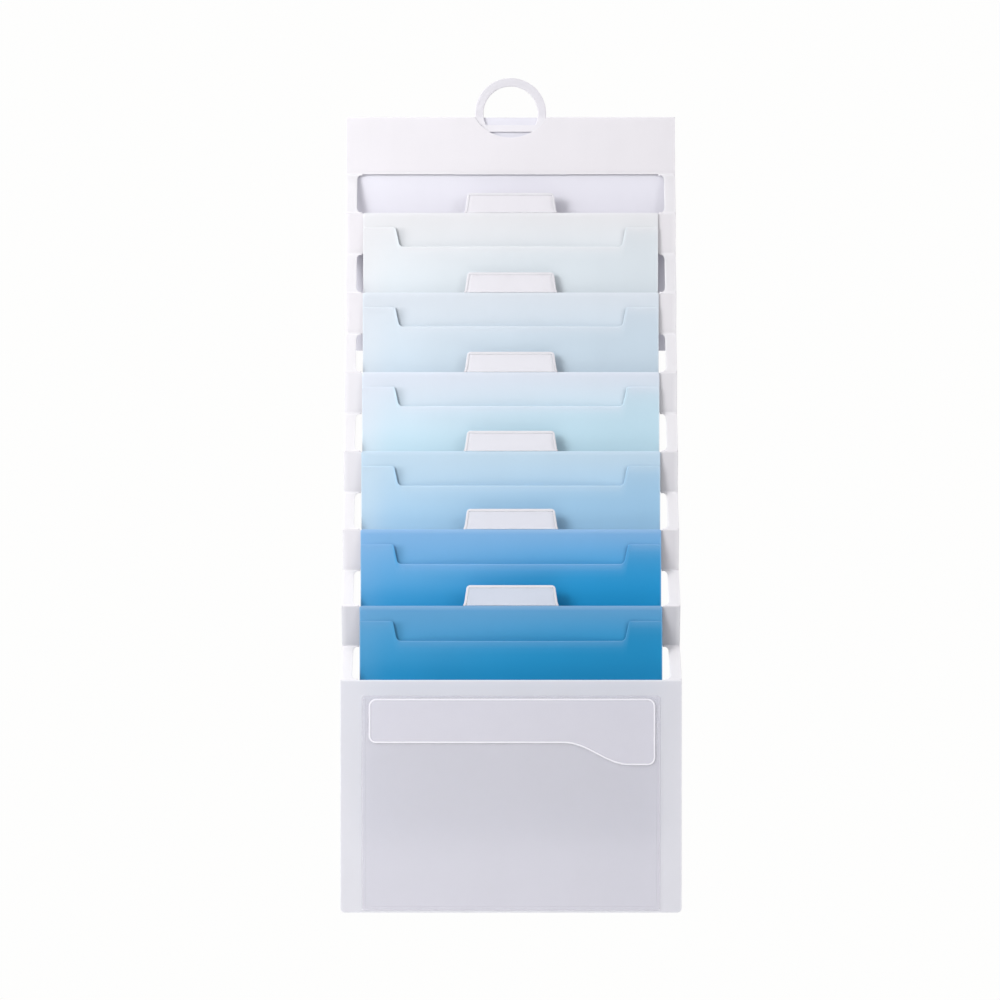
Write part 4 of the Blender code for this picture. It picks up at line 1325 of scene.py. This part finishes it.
class DOCPOCKET_OT_cover(bpy.types.Operator):
    """Builds the front cover with its clear sheet, weld lines and label outline"""

    bl_idname = "docpocket.cover"
    bl_label = "Front cover"

    def board(self, sizes, place):
        """The cover itself, thinned behind its crease, with round lower corners."""
        across = stations(2 * SHEET_HALF, sizes.rim, sizes.corner, 60) - SHEET_HALF
        inset = corner_inset(SHEET_HALF - np.abs(across), sizes.corner)
        top = np.full_like(across, sizes.crease_gap)
        down = stations(sizes.cover_height, sizes.rim, sizes.crease_bevel, 50)
        half_thickness = sizes.cover / 2

        def faces_at(x, u, edge):
            half = half_thickness * rim_share(edge, sizes.rim)
            rear = -half + crease_cut(u, sizes) * sizes.cover / sizes.sheet
            rear = np.minimum(rear, half - COVER_LEAST)
            # fold: crease whitening and a painted highlight along the cover's top.
            fold = 1.6 * eased((COVER_CREST_HIGHLIGHT - u) / COVER_FOLD_OVER)
            return rear, half, {"rim": hump(edge, COVER_RIM_HIGHLIGHT), "fold": fold}

        return leaf(across, top, sizes.cover_height - inset, down, faces_at, place)

    def clear_sheet(self, sizes, place):
        """The clear sheet, with a ridge along its edge and another line inside it."""
        low, high = sizes.cover_sheet_top, sizes.cover_height - sizes.cover_sheet_bottom
        radius = sizes.corner / 2
        weld = sizes.cover_weld
        total = 2 * COVER_SHEET_HALF
        across = stations(total, sizes.rim / 2, radius, 60, (weld, total - weld)) - COVER_SHEET_HALF
        inset = corner_inset(COVER_SHEET_HALF - np.abs(across), radius)
        down = stations(high - low, sizes.rim / 2, 0.0, 50, (weld, high - low - weld))
        middle = sizes.cover / 2 + sizes.gap + CLEAR_HALF

        def faces_at(x, u, edge):
            half = CLEAR_HALF * rim_share(edge, sizes.rim / 2)
            outside = np.minimum(COVER_SHEET_HALF - np.abs(x), high - u) < 2 * weld
            line = hump(edge - weld, LINE_WIDTH) * outside
            border = eased((CLEAR_BORDER - edge) / CLEAR_BORDER_OVER)
            shown = np.clip(0.35 * line + 0.4 * border, 0.0, 1.0)
            return middle - half, middle + half + LINE_RISE * line, {"weld": shown}

        return leaf(across, low + inset, high - inset, down, faces_at, place)

    def label_edges(self, sizes, x):
        """The label's upper and lower edge at each place across: the lower one steps down as a cosine."""
        top = sizes.cover_sheet_top + sizes.label_top
        low, high = top + sizes.label_left_height, top + sizes.label_right_height
        share = np.clip((x - (LABEL_RIGHT - sizes.label_end - sizes.label_step)) / sizes.label_step, 0.0, 1.0)
        inset = corner_inset(np.minimum(x - LABEL_LEFT, LABEL_RIGHT - x), sizes.label_corner)
        return top + inset, low + (high - low) * (1 - np.cos(np.pi * share)) / 2 - inset

    def label(self, sizes, place):
        """The bare label film and the bead round it."""
        across = stations(LABEL_RIGHT - LABEL_LEFT, sizes.rim / 3, sizes.label_corner, 80) + LABEL_LEFT
        top, bottom = self.label_edges(sizes, across)
        down = stations(sizes.label_left_height, sizes.rim / 3, 0.0, 20)
        rear = sizes.cover / 2 + 2 * sizes.gap + 2 * CLEAR_HALF

        def faces_at(x, u, edge):
            half = LABEL_HALF * rim_share(edge, sizes.rim / 3)
            return rear + LABEL_HALF - half, rear + LABEL_HALF + half, {"weld": 0.0 * x}

        film = leaf(across, top, bottom, down, faces_at, place)
        upper, lower = (np.stack([across, edge], -1) for edge in (top, bottom))
        outline = np.concatenate([upper, lower[::-1], upper[:1]])
        outline = resampled(outline, 361)[:-1]
        line = bead(outline, sizes.label_line, BEAD_HEIGHT, rear + 2 * LABEL_HALF, place)
        line[2]["weld"] = line[2].pop("rim")
        return [film, line]

    def execute(self, context):
        sizes = context.scene.docpocket_sizes
        place = (crest(STAGES[-1]), sizes.tilt)
        board, clear = [self.board(sizes, place)], [self.clear_sheet(sizes, place)]
        label = self.label(sizes, place)
        for name, parts, slot, node in (
            ("front_cover_board", board, "cover_white", "front_cover"),
            ("front_cover_clear_sheet", clear, "cover_sheet_clear", "front_cover_sheet"),
            ("front_label_film", label, "label_film", "front_label"),
        ):
            made = add_piece(name, parts, finish_for(slot))
            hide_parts(node)
            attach(made, "front_cover")
        return {"FINISHED"}


class DOCPOCKET_PT_panel(bpy.types.Panel):
    """Lists the sizes, the finishes and the pieces to build"""

    bl_idname = "DOCPOCKET_PT_panel"
    bl_label = "Document Pocket"
    bl_space_type = "VIEW_3D"
    bl_region_type = "UI"
    bl_category = "Document Pocket"

    def draw(self, context):
        for operator in OPERATORS:
            self.layout.operator(operator.bl_idname)
        scene = context.scene
        for group in (scene.docpocket_sizes, scene.docpocket_finishes, scene.docpocket_studio):
            column = self.layout.box().column()
            for name in group.bl_rna.properties.keys():
                if name not in ("rna_type", "name"):
                    column.prop(group, name)


OPERATORS = (
    DOCPOCKET_OT_stage,
    DOCPOCKET_OT_hook,
    DOCPOCKET_OT_header,
    DOCPOCKET_OT_zigzag,
    DOCPOCKET_OT_pockets,
    DOCPOCKET_OT_tabs,
    DOCPOCKET_OT_cover,
)
CLASSES = (DOCPOCKET_PG_sizes, DOCPOCKET_PG_finishes, DOCPOCKET_PG_studio, *OPERATORS, DOCPOCKET_PT_panel)


def register():
    for each in CLASSES:
        bpy.utils.register_class(each)
    bpy.types.Scene.docpocket_sizes = bpy.props.PointerProperty(type=DOCPOCKET_PG_sizes)
    bpy.types.Scene.docpocket_finishes = bpy.props.PointerProperty(type=DOCPOCKET_PG_finishes)
    bpy.types.Scene.docpocket_studio = bpy.props.PointerProperty(type=DOCPOCKET_PG_studio)


def unregister():
    del bpy.types.Scene.docpocket_studio
    del bpy.types.Scene.docpocket_finishes
    del bpy.types.Scene.docpocket_sizes
    for each in reversed(CLASSES):
        bpy.utils.unregister_class(each)


def main():
    """Builds every piece in order."""
    register()
    bpy.ops.docpocket.stage()
    bpy.ops.docpocket.hook()
    bpy.ops.docpocket.header()
    bpy.ops.docpocket.zigzag()
    bpy.ops.docpocket.pockets()
    bpy.ops.docpocket.tabs()
    bpy.ops.docpocket.cover()


if __name__ == "__main__":
    main()
